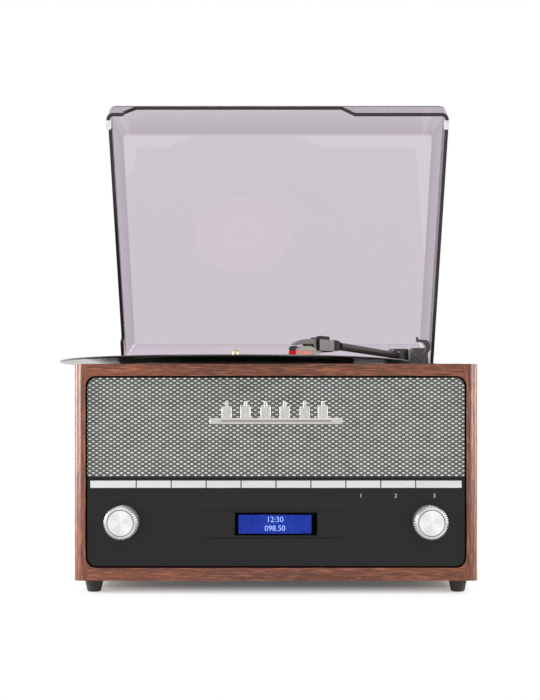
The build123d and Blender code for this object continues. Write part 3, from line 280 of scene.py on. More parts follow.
def dress(material, *names):
    """Give a frame piece its finish."""
    for name in names:
        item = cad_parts[name]
        item.data.materials.clear()
        item.data.materials.append(material)


CLOUD_DARK = 0.88           # the darker clouds of a moulding, as a share of its colour
ROUGH_PLAY = 0.06
GRAIN_DEEP = 0.0004


def plastic(name, colour, roughness, grain=0.02, scale=900.0, gloss=0.5):
    """Moulded plastic of a colour in display values, with fine texture in its roughness and bump."""
    colour = srgb(*colour)
    material = finish_named(name, colour, roughness, Specular_IOR_Level=gloss)
    vector = place_scaled(material)
    fine = noise(material, vector, scale, 2.0)
    cloud = noise(material, vector, 12.0, 3.0)
    dark = tuple(part * CLOUD_DARK for part in colour)
    tint = ramp(material, cloud, [(0.3, dark), (0.7, colour)])
    feed(material, {"Base Color": tint})
    rough = spread(material, fine, roughness - ROUGH_PLAY, roughness + ROUGH_PLAY)
    feed(material, {"Roughness": rough})
    bump(material, fine, grain, GRAIN_DEEP)
    return material


print("material helpers ready")

# %% [markdown]
# The cabinet's upright corners are rounded, and the film is drawn tightly round them. On the real thing
# that softens the front for a few millimetres beside the corner, where it catches the side lamps as a
# broad bright band. The frame's corner has the right radius but a sharp start. So the shading is leaned
# outwards there by a bump whose height falls off with the distance from the cabinet's middle.

# %% Uprights of the front
STILE_FROM, STILE_TO = 0.1455, 0.1472     # where the grain turns upright
BEND_FROM, BEND_TO = 0.1497, 0.1543       # where the front leans back to the corner
BEND_DEEP = 0.0025


def from_middle(material, low, high, top):
    """0 near the middle of the cabinet, rising to top between two distances left and right of it."""
    across = add_node(material, "SeparateXYZ", {"Vector": place_scaled(material)}).outputs["X"]
    side = add_node(material, "Math", {0: across}, operation="ABSOLUTE").outputs[0]
    reach = {"Value": side, "From Min": low, "From Max": high, "To Max": top}
    return add_node(material, "MapRange", reach, interpolation_type="SMOOTHSTEP").outputs["Result"]


def bend_corner(material):
    """Lean the shading of the front outwards beside its upright corners, for the coat as well."""
    leaning = bump(material, from_middle(material, BEND_FROM, BEND_TO, -1.0), 1.0, BEND_DEEP)
    feed(material, {"Coat Normal": leaning})
    return leaning


print("front leans back from", BEND_FROM, "to", BEND_TO)

# %% [markdown]
# The cabinet is board wrapped in a walnut film. Its grain runs across the front, and turns upright on the
# two uprights. Long stretched noise makes the broad bands, a finer stretched noise the fibres, and short
# dark flecks the pores. The side panels take the same film, with the grain running from front to back.
# Noise was chosen over a wood pattern of rings, because printed film shows straight, quiet grain.

# %% Walnut film
WOOD_LIGHT, WOOD_MID, WOOD_DARK = srgb(166, 90, 56), srgb(124, 64, 40), srgb(76, 33, 19)
FIBRE_LIGHT, FIBRE_MID, FIBRE_DARK = srgb(200, 124, 88), srgb(118, 60, 36), srgb(40, 26, 12)
PORE = srgb(74, 36, 23)
BAND_SCALE, FIBRE_SCALE, PORE_SCALE = 90.0, 950.0, 1300.0
GRAIN_ALONG = 0.045         # the pattern's scale along the grain, as a share of its scale across
FIBRE_ALONG = 0.07
FIBRE_SHARE = 0.6           # how much of the fibres shows over the bands


def walnut(name, stretch, front=False):
    """Walnut film. stretch is the scale along each axis: small along the grain."""
    coat, coat_rough = (0.8, 0.24) if front else (0.5, 0.2)
    material = finish_named(
        name, WOOD_MID, 0.4, Specular_IOR_Level=0.2, Coat_Weight=coat, Coat_Roughness=coat_rough)
    vector = place_scaled(material, stretch)
    finer = place_scaled(material, tuple(part if part == 1.0 else FIBRE_ALONG for part in stretch))
    if front:
        upright = from_middle(material, STILE_FROM, STILE_TO, 1.0)
        vector = mixed(material, upright, vector, place_scaled(material, (1, 1, GRAIN_ALONG)))
        finer = mixed(material, upright, finer, place_scaled(material, (1, 1, FIBRE_ALONG)))
    bands = noise(material, vector, BAND_SCALE, 5.0, 0.6, 0.6)
    fibres = noise(material, finer, FIBRE_SCALE, 4.0, 0.7, 0.3)
    pores = noise(material, vector, PORE_SCALE, 2.0, 0.6)
    body = ramp(material, bands, [(0.30, WOOD_DARK), (0.5, WOOD_MID), (0.70, WOOD_LIGHT)])
    lines = ramp(material, fibres, [(0.34, FIBRE_DARK), (0.5, FIBRE_MID), (0.66, FIBRE_LIGHT)])
    grain = mixed(material, FIBRE_SHARE, body, lines)
    specks = ramp(material, pores, [(0.30, (1, 1, 1)), (0.37, (0, 0, 0))])
    feed(material, {"Base Color": mixed(material, specks, grain, PORE)})
    feed(material, {"Roughness": spread(material, fibres, 0.5, 0.36)})
    bump(material, fibres, 0.12, 0.0005, bend_corner(material) if front else None)
    return material


dress(walnut("walnut_front", (GRAIN_ALONG, 1.0, 1.0), front=True), "front_frame")
dress(walnut("walnut_across", (GRAIN_ALONG, 1.0, 1.0)), "top_panel")
dress(walnut("walnut_back", (1.0, GRAIN_ALONG, 1.0)), "left_side_panel", "right_side_panel")
print("walnut on the cabinet")

# %% [markdown]
# The plain frame pieces follow. Most are moulded in black or grey plastic, with a grain too fine to see
# one by one, so a helper gives them one finish that differs in colour, roughness and gloss. The feet, mat
# and belt are rubber, and the hidden boards are raw.

# %% Plain finishes
dress(plastic("panel_satin", (27, 27, 28), 0.42, gloss=0.28), "front_fascia")
dress(plastic("deck_moulding", (30, 30, 31), 0.5), "deck_plate", "platter")
dress(plastic("foot_rubber", (46, 40, 36), 0.6), "feet")
dress(plastic("mat_rubber", (24, 24, 24), 0.8), "platter_mat", "drive_belt")
dress(plastic("back_board", (34, 33, 32), 0.75, 0.1, 300.0), "back_panel")
dress(plastic("raw_board", (140, 112, 84), 0.85, 0.2, 400.0), "bottom_panel", "speaker_baffle")
dress(plastic("socket_moulding", (26, 26, 27), 0.45), "socket_plate", "rear_sockets")
dress(plastic("speaker_paint", (30, 30, 30), 0.4), "left_speaker_basket", "right_speaker_basket")
dress(plastic("cone_paper", (38, 36, 34), 0.85, 0.2, 500.0), "left_speaker_cone", "right_speaker_cone")
dress(plastic("board_green", (20, 70, 42), 0.4), "button_board", "main_board")
dress(plastic("arm_moulding", (70, 68, 66), 0.34), "arm_yoke", "arm_base", "arm_rest", "cue_lever",
      "cue_lifter", "speed_switch")
dress(plastic("hinge_moulding", (28, 27, 28), 0.45), "lid_hinge_arms")
dress(plastic("key_white", (228, 228, 228), 0.35), *[f"button_{n}" for n in range(1, 11)])
dress(plastic("bumper_clear", (238, 238, 238), 0.3), "lid_bumpers")
print("plastics, rubber and boards on")

# %% [markdown]
# The screws, shafts, bearing, pulley and spindle are bare metal. Turned and drawn metal keeps fine
# tool marks, which a small change of roughness shows better than colour does.

# %% Metal finishes
MARK_SCALE = 1400.0
MARK_PLAY = 0.08


def metal(name, colour, roughness):
    """Bare metal of a colour in display values, with fine tool marks in its roughness."""
    material = finish_named(name, srgb(*colour), roughness, 1.0)
    marks = noise(material, place_scaled(material), MARK_SCALE, 2.0)
    rough = spread(material, marks, roughness - MARK_PLAY, roughness + MARK_PLAY)
    feed(material, {"Roughness": rough})
    bump(material, marks, 0.03, 0.0002)
    return material


dress(metal("screw_steel", (190, 190, 188), 0.35), "foot_screws", "motor")
dress(metal("shaft_steel", (205, 205, 203), 0.25), "volume_shaft", "tune_shaft", "lid_hinge_bases")
dress(metal("bearing_brass", (205, 170, 95), 0.3), "spindle_bearing", "motor_pulley")
dress(metal("spindle_steel", (214, 196, 150), 0.18), "spindle")
print("metals on")

# %% [markdown]
# A record is black vinyl with one long spiral groove, which looks like fine rings round the spindle. A ring
# pattern needs its centre at the spindle, so a Mapping node moves the pattern there. The rings only tilt
# the surface a little through bump, which gives the fans of light that a real record shows. The label is
# printed paper, with two plain tones and a mottle.

# %% Record and label
spindle_low, spindle_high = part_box("spindle")
SPINDLE_AT = [(spindle_low[axis] + spindle_high[axis]) / 2 for axis in (0, 1)]
RING_PITCH = 0.0009
LABEL_PITCH = 0.034


def rings(material, vector, pitch, axis="Z"):
    """Even rings round an axis, a pitch apart."""
    inputs = {"Vector": vector, "Scale": 2 * math.pi / (20 * pitch), "Detail": 0.0}
    return add_node(material, "TexWave", inputs, wave_type="RINGS", rings_direction=axis).outputs["Fac"]


record_vinyl = finish_named("record_vinyl", srgb(14, 14, 15), 0.16)
vector = place_scaled(record_vinyl, place=(*SPINDLE_AT, 0))
bump(record_vinyl, rings(record_vinyl, vector, RING_PITCH), 0.12, 0.0001)
wide = noise(record_vinyl, vector, 40.0)
feed(record_vinyl, {"Roughness": spread(record_vinyl, wide, 0.10, 0.22)})
dress(record_vinyl, "record")

label_paper = finish_named("label_paper", srgb(206, 84, 84), 0.55)
vector = place_scaled(label_paper, place=(*SPINDLE_AT, 0))
printed = ramp(label_paper, rings(label_paper, vector, LABEL_PITCH),
               [(0.86, srgb(206, 84, 84)), (0.93, srgb(232, 190, 176))])
mottle = ramp(label_paper, noise(label_paper, vector, 500.0),
              [(0.3, srgb(190, 74, 76)), (0.7, srgb(214, 96, 92))])
feed(label_paper, {"Base Color": mixed(label_paper, 0.4, printed, mottle)})
dress(label_paper, "record_label")
print("record centred on", [round(value, 4) for value in SPINDLE_AT])

# %% [markdown]
# The lid is smoked acrylic. Its tint comes from the depth of plastic that the light crosses, not from the
# surface: a wall of 3 mm looks pale grey-violet, while a cut edge, where the light runs along the wall,
# looks nearly black. Volume absorption inside a clear glassy surface gives both from one value, which a
# tinted surface can't. Fine dust-like waviness is left to a very faint bump.

# %% Smoked lid
LID_WALL = 0.003
CROSSING = (0.660, 0.612, 0.668)      # light left after one wall
ABSORB_DENSITY = 200.0
lid_smoke = finish_named("lid_smoke", (1.0, 1.0, 1.0), 0.0, Transmission_Weight=1.0, IOR=1.49)
tint = [1 + math.log(part) / LID_WALL / ABSORB_DENSITY for part in CROSSING]
absorb = add_node(lid_smoke, "VolumeAbsorption", {"Density": ABSORB_DENSITY, "Color": (*tint, 1.0)})
fill(lid_smoke, lid_smoke.node_tree.nodes["Material Output"], {"Volume": absorb.outputs[0]})
haze = noise(lid_smoke, place_scaled(lid_smoke), 18.0, 2.0)
bump(lid_smoke, haze, 0.02, 0.0004)
dress(lid_smoke, "lid")
print("lid absorbs with colour", [round(value, 3) for value in tint])

# %% [markdown]
# New small pieces start here. These helpers clear the selection first, because an operator acts on all
# that is selected, and they put a finished piece's place into its mesh, so its object stays at the origin.

# %% Helpers for shapes
UPRIGHT = (math.radians(90), 0, 0)      # turns a flat shape to face the front


def clear_selection():
    """Leave the frame's pieces and earlier pieces unselected."""
    bpy.ops.object.select_all(action="DESELECT")


def select_only(*items):
    """Select just these pieces, with the first one active."""
    clear_selection()
    for item in items:
        item.select_set(True)
    bpy.context.view_layer.objects.active = items[0]


def apply_place():
    """Put the active piece's place, turn and size into its mesh."""
    bpy.ops.object.transform_apply(location=True, rotation=True, scale=True)


def open_edit(item, scale=None):
    """Give a new piece its size, if any, and go into edit mode with all of it selected."""
    if scale:
        item.scale = scale
        apply_place()
    bpy.ops.object.mode_set(mode="EDIT")
    bpy.ops.mesh.select_all(action="SELECT")


def close_edit(face_out=False):
    """Leave edit mode, with all faces turned outwards first if asked."""
    if face_out:
        bpy.ops.mesh.select_all(action="SELECT")
        bpy.ops.mesh.normals_make_consistent(inside=False)
    bpy.ops.object.mode_set(mode="OBJECT")


def pick(item, kind, test):
    """In edit mode, select the FACE, EDGE or VERT parts that pass a test."""
    bpy.ops.mesh.select_mode(type=kind)
    bpy.ops.mesh.select_all(action="DESELECT")
    mesh = bmesh.from_edit_mesh(item.data)
    for part in {"FACE": mesh.faces, "EDGE": mesh.edges, "VERT": mesh.verts}[kind]:
        if test(part):
            part.select_set(True)
    bmesh.update_edit_mesh(item.data)


def apply_modifier(item, kind, **settings):
    """Give the active piece a modifier with these settings, and apply it."""
    modifier = item.modifiers.new(kind.lower(), kind)
    for setting, value in settings.items():
        setattr(modifier, setting, value)
    bpy.ops.object.modifier_apply(modifier=modifier.name)


def copy_of(item):
    """A copy with its own mesh."""
    again = item.copy()
    again.data = item.data.copy()
    scene.collection.objects.link(again)
    return again


def settle(item, name, material, body):
    """Name a piece, put its place into its mesh, give it its finish, and let it ride on a body."""
    select_only(item)
    apply_place()
    item.name = name
    item.data.name = name
    item.data.materials.clear()
    item.data.materials.append(material)
    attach(item, body)
    print(name, len(item.data.polygons), "faces")
    return item


print("shape helpers ready")

# %% [markdown]
# The speaker grille is a woven cloth of thick plastic yarn: white ovals and grey ovals in a chequer, with
# dark gaps. Close up, each crossing is a low dome. One dome is shaped from an eight-sided cylinder, by
# insetting its front and pushing it out. It is then repeated by two arrays, which gives thousands of
# domes from one small mesh.

# %% One dome of the weave, and its rows
CLOTH_LOW, CLOTH_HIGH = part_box("grille_cloth")
COLUMN_STEP = 0.00273
ROW_STEP = 0.00174
DOME_W = 0.0028
DOME_H = 0.00156
DOME_OUT = 0.0005
DOME_INSET = 0.26           # of the dome's height
DOME_CROWN = 0.35           # how far the middle stands out, as a share of the dome's rise
SUNK = 0.0003               # how far the domes start inside the cloth


def dome_rows(shift, out):
    """Domes over the whole cloth, in every second column and row, from a shifted start."""
    clear_selection()
    place = (CLOTH_LOW[0] + shift[0], CLOTH_LOW[1] + (SUNK - out) / 2, CLOTH_LOW[2] + shift[1])
    bpy.ops.mesh.primitive_cylinder_add(vertices=8, radius=0.5, depth=1.0, rotation=UPRIGHT, location=place)
    dome = bpy.context.object
    open_edit(dome, (DOME_W, DOME_H, out + SUNK))
    pick(dome, "FACE", lambda face: face.normal.y > 0.9)
    bpy.ops.mesh.delete(type="FACE")
    pick(dome, "FACE", lambda face: face.normal.y < -0.9)
    bpy.ops.mesh.inset(thickness=DOME_H * DOME_INSET)
    bpy.ops.transform.translate(value=(0, -out * DOME_CROWN, 0))
    close_edit()
    for axis, step in ((0, 2 * COLUMN_STEP), (2, 2 * ROW_STEP)):
        offset = [0, 0, 0]
        offset[axis] = step
        apply_modifier(dome, "ARRAY", use_relative_offset=False, use_constant_offset=True,
                       count=math.ceil((CLOTH_HIGH[axis] - CLOTH_LOW[axis]) / step),
                       constant_offset_displace=offset)
    return dome


print("a dome every", COLUMN_STEP, "by", ROW_STEP)

# %% [markdown]
# Two sets of rows that lie in between each other make all the threads of one colour. They are cut off
# round the cloth's edge, where the real cloth is tucked behind the wood, with rounded upper corners. The
# grey threads lie a little lower than the white ones. The frame's cloth stays behind as the dark ground.

# %% Woven grille
EDGE_CLEAR = 0.0007
CORNER_R = 0.0077


def off_cloth(vertex):
    """Whether a point lies past the cloth's visible edge."""
    x, z = vertex.co.x, vertex.co.z
    from_side = min(x - CLOTH_LOW[0], CLOTH_HIGH[0] - x) - EDGE_CLEAR
    from_top = CLOTH_HIGH[2] - z - EDGE_CLEAR
    corner = from_side < CORNER_R and from_top < CORNER_R
    over = corner and math.hypot(CORNER_R - from_side, CORNER_R - from_top) > CORNER_R
    return from_side < 0 or from_top < 0 or z < CLOTH_LOW[2] + EDGE_CLEAR or over


def threads(name, material, first_shift, second_shift, out):
    """All the domes of one colour."""
    cloth, others = dome_rows(first_shift, out), dome_rows(second_shift, out)
    select_only(cloth, others)
    bpy.ops.object.join()
    open_edit(cloth)
    pick(cloth, "VERT", off_cloth)
    bpy.ops.mesh.delete(type="VERT")
    close_edit()
    return settle(cloth, name, material, "cabinet")


def yarn(name, colour, shade):
    """Plastic-coated yarn, with fibre streaks along it and slight differences from thread to thread."""
    material = finish_named(name, srgb(*colour), 0.55)
    vector = place_scaled(material, (0.5, 1, 1))
    fibres = noise(material, vector, 2600.0, 3.0)
    tone = ramp(material, noise(material, vector, 260.0, 2.0), [(0.3, srgb(*shade)), (0.6, srgb(*colour))])
    feed(material, {"Base Color": tone})
    bump(material, fibres, 0.2, 0.0001)
    return material


threads("grille_white_threads", yarn("thread_white", (218, 218, 214), (198, 198, 193)),
        (0, 0), (COLUMN_STEP, ROW_STEP), DOME_OUT)
threads("grille_grey_threads", yarn("thread_grey", (104, 108, 104), (84, 88, 84)),
        (0, ROW_STEP), (COLUMN_STEP, 0), DOME_OUT * 0.7)
dress(yarn("grille_ground", (52, 54, 52), (38, 40, 38)), "grille_cloth")

# %% [markdown]
# A thin black band is put all round the opening in the wooden front, where the film ends and the cloth and
# the radio panel are set in. It is a rounded rectangle: a plane whose corners are bevelled, inset to leave
# a narrow band, and extruded back a little.

# %% Black edge of the opening
RIM_WIDE = 0.0011
RIM_DEEP = 0.0007
RIM_GAP = 0.0003
OPENING_R = 0.008
panel_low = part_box("front_fascia")[0]
rim_low, rim_high = panel_low[2] - RIM_GAP, CLOTH_HIGH[2] + RIM_GAP
rim_left, rim_right = CLOTH_LOW[0] - RIM_GAP, CLOTH_HIGH[0] + RIM_GAP
rim_at = (0, panel_low[1] - RIM_DEEP, (rim_low + rim_high) / 2)
clear_selection()
bpy.ops.mesh.primitive_plane_add(size=1, rotation=UPRIGHT, location=rim_at)
rim = bpy.context.object
open_edit(rim, (rim_right - rim_left, rim_high - rim_low, 1))
bpy.ops.mesh.bevel(affect="VERTICES", offset=OPENING_R, segments=6, profile=0.5)
bpy.ops.mesh.select_all(action="SELECT")
bpy.ops.mesh.inset(thickness=RIM_WIDE)
bpy.ops.mesh.delete(type="FACE")
bpy.ops.mesh.select_all(action="SELECT")
bpy.ops.mesh.extrude_region_move(TRANSFORM_OT_translate={"value": (0, RIM_DEEP, 0)})
close_edit(face_out=True)
settle(rim, "opening_edge", plastic("edge_black", (14, 11, 10), 0.7, gloss=0.0), "cabinet")

# %% [markdown]
# The two knobs are turned aluminium: a fine-toothed rim for the fingers, and a bright spun cap inside a
# narrow groove. A spun face shines in fans, because its tool marks run in rings. The metal has fine rings
# in its bump, and the soft fans of light round its centre are painted into its colour as painted highlights.
# It is painted darker in the groove and between the teeth, as painted shade where light gets lost, and
# that follows the distance from the centre.

# %% Spun metal of the knobs
knob_low, knob_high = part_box("volume_knob")
KNOB_MID = tuple((low + high) / 2 for low, high in zip(knob_low, knob_high))
KNOB_OUT_R = (knob_high[0] - knob_low[0]) / 2
KNOB_DEEP = knob_high[1] - knob_low[1]
SPUN_PITCH = 0.0005
# painted highlight: lighter and darker fans of grey, by the turn round the knob's centre
PAINTED_FAN_HIGHLIGHTS = ((0.00, 244), (0.12, 226), (0.27, 250), (0.45, 230), (0.62, 250), (0.80, 224), (1.0, 244))
# painted shade: the share of the fan tone left at each share of the radius, low in the groove and by the
# teeth
PAINTED_SHADE_BY_RADIUS = ((0.74, 1), (0.775, 0.25), (0.80, 0.25), (0.82, 0.72), (0.88, 0.9), (0.905, 1), (0.93, 0.55),
                 (0.96, 1))

knob_metal = finish_named("knob_spun", srgb(240, 240, 240), 0.26, 0.6)
around = place_scaled(knob_metal, place=(KNOB_MID[0], 0, KNOB_MID[2]))
bump(knob_metal, rings(knob_metal, around, SPUN_PITCH, "Y"), 0.12, 0.00005)
turned = add_node(knob_metal, "Mapping", {"Vector": around, "Rotation": UPRIGHT}).outputs[0]
fan = add_node(knob_metal, "TexGradient", {"Vector": turned}, gradient_type="RADIAL").outputs["Fac"]
painted_fan_highlight = ramp(knob_metal, fan, [(turn, srgb(tone, tone, tone)) for turn, tone in PAINTED_FAN_HIGHLIGHTS])
flat = add_node(knob_metal, "VectorMath", {0: around, 1: (1, 0, 1)}, operation="MULTIPLY").outputs[0]
reach = add_node(knob_metal, "VectorMath", {0: flat}, operation="LENGTH").outputs["Value"]
share = add_node(knob_metal, "MapRange", {"Value": reach, "From Max": KNOB_OUT_R}).outputs["Result"]
lit = ramp(knob_metal, share, [(radius, (part, part, part)) for radius, part in PAINTED_SHADE_BY_RADIUS])
# the fans are mixed towards a dark grey by radius, as painted shade
feed(knob_metal, {"Base Color": mixed(knob_metal, lit, srgb(60, 60, 60), painted_fan_highlight)})
print("knob metal round", [round(value, 4) for value in KNOB_MID])

# %% [markdown]
# The frame's knobs hold their place and size, and these show the teeth. A cylinder is the start. Its front
# is inset several times, with one step pushed back for the groove. Every second pair of its outer corners
# is drawn in to leave the teeth, as a knurling wheel does.

# %% Toothed knob
TOOTH_COUNT = 44
TOOTH_OUT = 0.0012
TOOTH_END = 0.0012
CAP_STEPS = ((TOOTH_END, TOOTH_END), (0.0012, 0.0), (0.00008, -0.0009), (0.0004, 0.0), (0.00008, 0.0009),
             (0.0040, 0.00002))         # each an inset, and a move towards the front


def between_teeth(vertex):
    """Whether a point on the rim belongs to the gap between two teeth."""
    across, up = vertex.co.x - KNOB_MID[0], vertex.co.z - KNOB_MID[2]
    quarter = round(math.atan2(up, across) / math.tau * 4 * TOOTH_COUNT) % 4
    return math.hypot(across, up) > KNOB_OUT_R - 0.0001 and quarter in (0, 1)


clear_selection()
bpy.ops.mesh.primitive_cylinder_add(
    vertices=4 * TOOTH_COUNT, radius=KNOB_OUT_R, depth=KNOB_DEEP - TOOTH_END, rotation=UPRIGHT,
    location=(KNOB_MID[0], KNOB_MID[1] + TOOTH_END / 2, KNOB_MID[2]))
knob = bpy.context.object
open_edit(knob, (1, 1, 1))
pick(knob, "FACE", lambda face: face.normal.y < -0.9)
for thick, forward in CAP_STEPS:
    bpy.ops.mesh.inset(thickness=thick)
    bpy.ops.transform.translate(value=(0, -forward, 0))
pick(knob, "VERT", between_teeth)
shrink = (KNOB_OUT_R - TOOTH_OUT) / KNOB_OUT_R
bpy.ops.transform.resize(value=(shrink, 1, shrink), center_override=KNOB_MID)
close_edit()
select_only(knob)
bpy.ops.object.shade_smooth_by_angle(angle=math.radians(20))
print("knob of radius", round(KNOB_OUT_R, 5))

# %% [markdown]
# Both knobs are the same part, so the second is a copy with its own mesh on the other side. Its metal is a
# copy too, because the rings, the painted highlight fans and the painted shade have to turn round its own
# centre.

# %% Both knobs
second = copy_of(knob)
second.location.x = -2 * KNOB_MID[0]
settle(knob, "volume_dial", knob_metal, "volume_knob")
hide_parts("volume_knob")
tune_metal = knob_metal.copy()
tune_metal.name = "knob_spun_right"
for node in tune_metal.node_tree.nodes:
    if node.bl_idname == "ShaderNodeMapping" and abs(node.inputs["Location"].default_value[0]) > 0.01:
        node.inputs["Location"].default_value[0] = KNOB_MID[0]
settle(second, "tune_dial", tune_metal, "tune_knob")
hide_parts("tune_knob")

# %% [markdown]
# The headshell carries the cartridge over the record. It is a grey block on the tube's end, with a curved
# finger lift that reaches over the cartridge. Such parts are moulded, so each is drawn as a side outline:
# a filled circle gives the right number of corners, the corners are moved onto the outline, and the face
# is extruded across. Distances run along the arm from the bend of the tube, and heights are above the
# cabinet's underside, both in millimetres.

# %% Headshell
BEND = Vector((0.0551, -0.0500, 0.0))
NOSE = Vector((0.0135, -0.0866, 0.0))
ALONG = (NOSE - BEND).normalized()
ACROSS = Vector((ALONG.y, -ALONG.x, 0))


def outline_slab(name, wide, material, outline, rounding=0.0003, shift=0.0):
    """A piece of the tonearm with the given side outline of (along, height), extruded across the arm."""
    clear_selection()
    bpy.ops.mesh.primitive_circle_add(vertices=len(outline), radius=1, fill_type="NGON")
    item = bpy.context.object
    side = ACROSS * (shift - wide / 2)
    for vertex, (along, height) in zip(item.data.vertices, outline):
        vertex.co = BEND + ALONG * along * MM + side + Vector((0, 0, height * MM))
    open_edit(item)
    bpy.ops.mesh.extrude_region_move(TRANSFORM_OT_translate={"value": tuple(ACROSS * wide)})
    close_edit(face_out=True)
    apply_modifier(item, "BEVEL", width=rounding, segments=2, limit_method="ANGLE")
    return settle(item, name, material, "tonearm")


shell_grey = plastic("headshell_grey", (134, 128, 127), 0.42, 0.05, 1500.0, 0.1)
lift_grey = plastic("finger_lift_grey", (116, 109, 108), 0.42, 0.03, 1500.0, 0.1)
# dark moulding for the collar and the cap, and also painted shade on the block's nose face and inside the
# finger lift
shell_dark_and_shade = plastic("headshell_dark_and_shade", (44, 39, 35), 0.45, gloss=0.06)
# black painted shade under the block
shell_shade_black = plastic("headshell_shade_black", (24, 21, 20), 0.5, gloss=0.05)
shell_pieces = [
    outline_slab("headshell_block", 0.0102, shell_grey, [
        (13.8, 180.5), (30.2, 180.8), (30.2, 190.2), (19.7, 190.0), (13.8, 189.6)]),
    outline_slab("headshell_seam", 0.01024, shell_dark_and_shade, [
        (20.3, 180.9), (20.6, 180.9), (20.6, 190.15), (20.3, 190.15)], rounding=0.0001),
    # the block's nose face, dark as painted shade
    outline_slab("headshell_nose_shade", 0.0102, shell_dark_and_shade, [
        (30.2, 181.0), (31.2, 181.0), (31.1, 191.3), (30.2, 191.9)]),
    outline_slab("headshell_cap", 0.0046, shell_dark_and_shade, [
        (30.3, 190.1), (30.2, 192.0), (28.8, 192.9), (19.5, 192.6), (18.7, 191.9), (18.7, 190.0)],
        rounding=0.0005, shift=-0.0028),
    outline_slab("finger_lift", 0.0061, lift_grey, [
        (31.1, 190.3), (35.8, 190.3), (43.8, 189.6), (50.1, 187.7), (54.2, 185.9), (54.2, 184.4),
        (51.2, 184.8), (43.8, 185.7), (36.3, 186.0), (34.9, 185.4), (34.9, 182.5), (31.1, 182.3)]),
    # the inside of the finger lift's arch, dark as painted shade
    outline_slab("headshell_inside_shade", 0.0046, shell_dark_and_shade, [
        (43.4, 186.2), (33.4, 186.5), (33.4, 182.5), (37.0, 182.4), (37.0, 184.4), (42.3, 184.4)]),
    # under the block, black as painted shade
    outline_slab("headshell_under_shade", 0.0080, shell_shade_black, [
        (13.8, 180.6), (14.4, 180.0), (25.2, 179.4), (26.6, 180.9)], rounding=0.0002),
    outline_slab("headshell_collar", 0.0090, shell_dark_and_shade, [
        (13.9, 181.3), (13.9, 189.8), (11.2, 190.1), (7.2, 189.5), (6.1, 188.6), (6.1, 182.0), (7.0, 181.2)],
        rounding=0.0010)]
for piece in shell_pieces:
    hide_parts("headshell")

# %% [markdown]
# The cartridge turns the needle's motion into sound. It has a grey upper half and a clear rose lower half,
# and the red stylus holder is at its nose, where it pulls off when the needle is worn. The holder's deep
# red is partly painted shade, for its nose face that turns away from the light.

# %% Cartridge and stylus
cartridge_grey = plastic("cartridge_grey", (164, 156, 150), 0.4, gloss=0.1)
cartridge_rose = plastic("cartridge_rose", (220, 136, 122), 0.35, gloss=0.1)
# red plastic, made deeper as painted shade on the nose face
stylus_red = plastic("stylus_red", (184, 8, 12), 0.4, gloss=0.02)
stylus_black = plastic("stylus_black", (22, 20, 20), 0.4, gloss=0.1)
cartridge_pieces = [
    outline_slab("cartridge_top", 0.0067, cartridge_grey, [
        (55.7, 180.0), (54.2, 181.6), (50.4, 183.2), (44.0, 184.1), (38.3, 184.1), (31.9, 182.1),
        (30.5, 180.4)]),
    outline_slab("cartridge_rear", 0.0066, cartridge_grey, [
        (37.0, 181.0), (30.5, 181.2), (24.5, 180.6), (24.9, 179.8), (27.1, 178.3), (37.0, 177.0)]),
    outline_slab("cartridge_rose_body", 0.0067, cartridge_rose, [
        (55.0, 180.3), (37.0, 180.9), (37.0, 176.8), (38.8, 176.3), (52.6, 175.9), (55.0, 176.2)],
        rounding=0.0006)]
for piece in cartridge_pieces:
    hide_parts("cartridge")
stylus_pieces = [
    outline_slab("stylus_holder", 0.0066, stylus_red, [
        (55.0, 176.3), (56.6, 176.6), (57.0, 177.4), (56.9, 179.6), (56.4, 180.2), (55.0, 180.3)]),
    outline_slab("stylus_cover", 0.0064, stylus_black, [
        (53.4, 182.0), (54.6, 180.4), (56.8, 180.3), (57.0, 182.2), (55.4, 183.8), (53.6, 184.0)]),
    outline_slab("needle", 0.0006, shell_grey, [
        (54.6, 176.2), (55.7, 176.2), (55.3, 174.5), (55.1, 174.5)], rounding=0.00005)]
for piece in stylus_pieces:
    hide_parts("stylus")

# %% [markdown]
# The tonearm's tube is a straight, flat-sided bar that thins a little towards the pivot. An eight-sided
# cone gives the flats. Its end faces are inset, its long edges are softened by a bevel, and it is turned
# to the direction between its two ends.

# %% Tonearm bar
PIVOT = Vector((0.1140, 0.0770, 0.0))
BAR_START = BEND.lerp(PIVOT, -0.045) + Vector((0, 0, 0.18509))
BAR_END = BEND.lerp(PIVOT, 1.04) + Vector((0, 0, 0.18292))
BAR_R_START, BAR_R_END = 0.00345, 0.00312
clear_selection()
bpy.ops.mesh.primitive_cone_add(
    vertices=8, radius1=BAR_R_START, radius2=BAR_R_END, depth=(BAR_END - BAR_START).length)
bar = bpy.context.object
open_edit(bar)
pick(bar, "FACE", lambda face: abs(face.normal.z) > 0.9)
bpy.ops.mesh.inset(thickness=0.0006, use_individual=True)
pick(bar, "EDGE", lambda edge: abs(edge.verts[0].co.z - edge.verts[1].co.z) > 0.01)
bpy.ops.mesh.bevel(offset=0.0005, segments=2)
close_edit()
bar.rotation_euler = (BAR_END - BAR_START).to_track_quat("Z", "Y").to_euler()
bar.location = (BAR_START + BAR_END) / 2
settle(bar, "tonearm_bar", plastic("arm_bar_grey", (46, 41, 37), 0.36, gloss=0.14), "tonearm")
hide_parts("arm_tube")

# %% [markdown]
# The lid's cut edges are nearly black where the eye meets them face on. The plastic itself gives that on
# the long walls, and a thin dark strip makes it even all round the front and down both sides. A strip is
# a grid of one row, whose two lines of points are put on the wall's outer and inner edge. The points are
# given for the closed lid, and swung open about the hinge. Solidify then gives the strip its thickness.

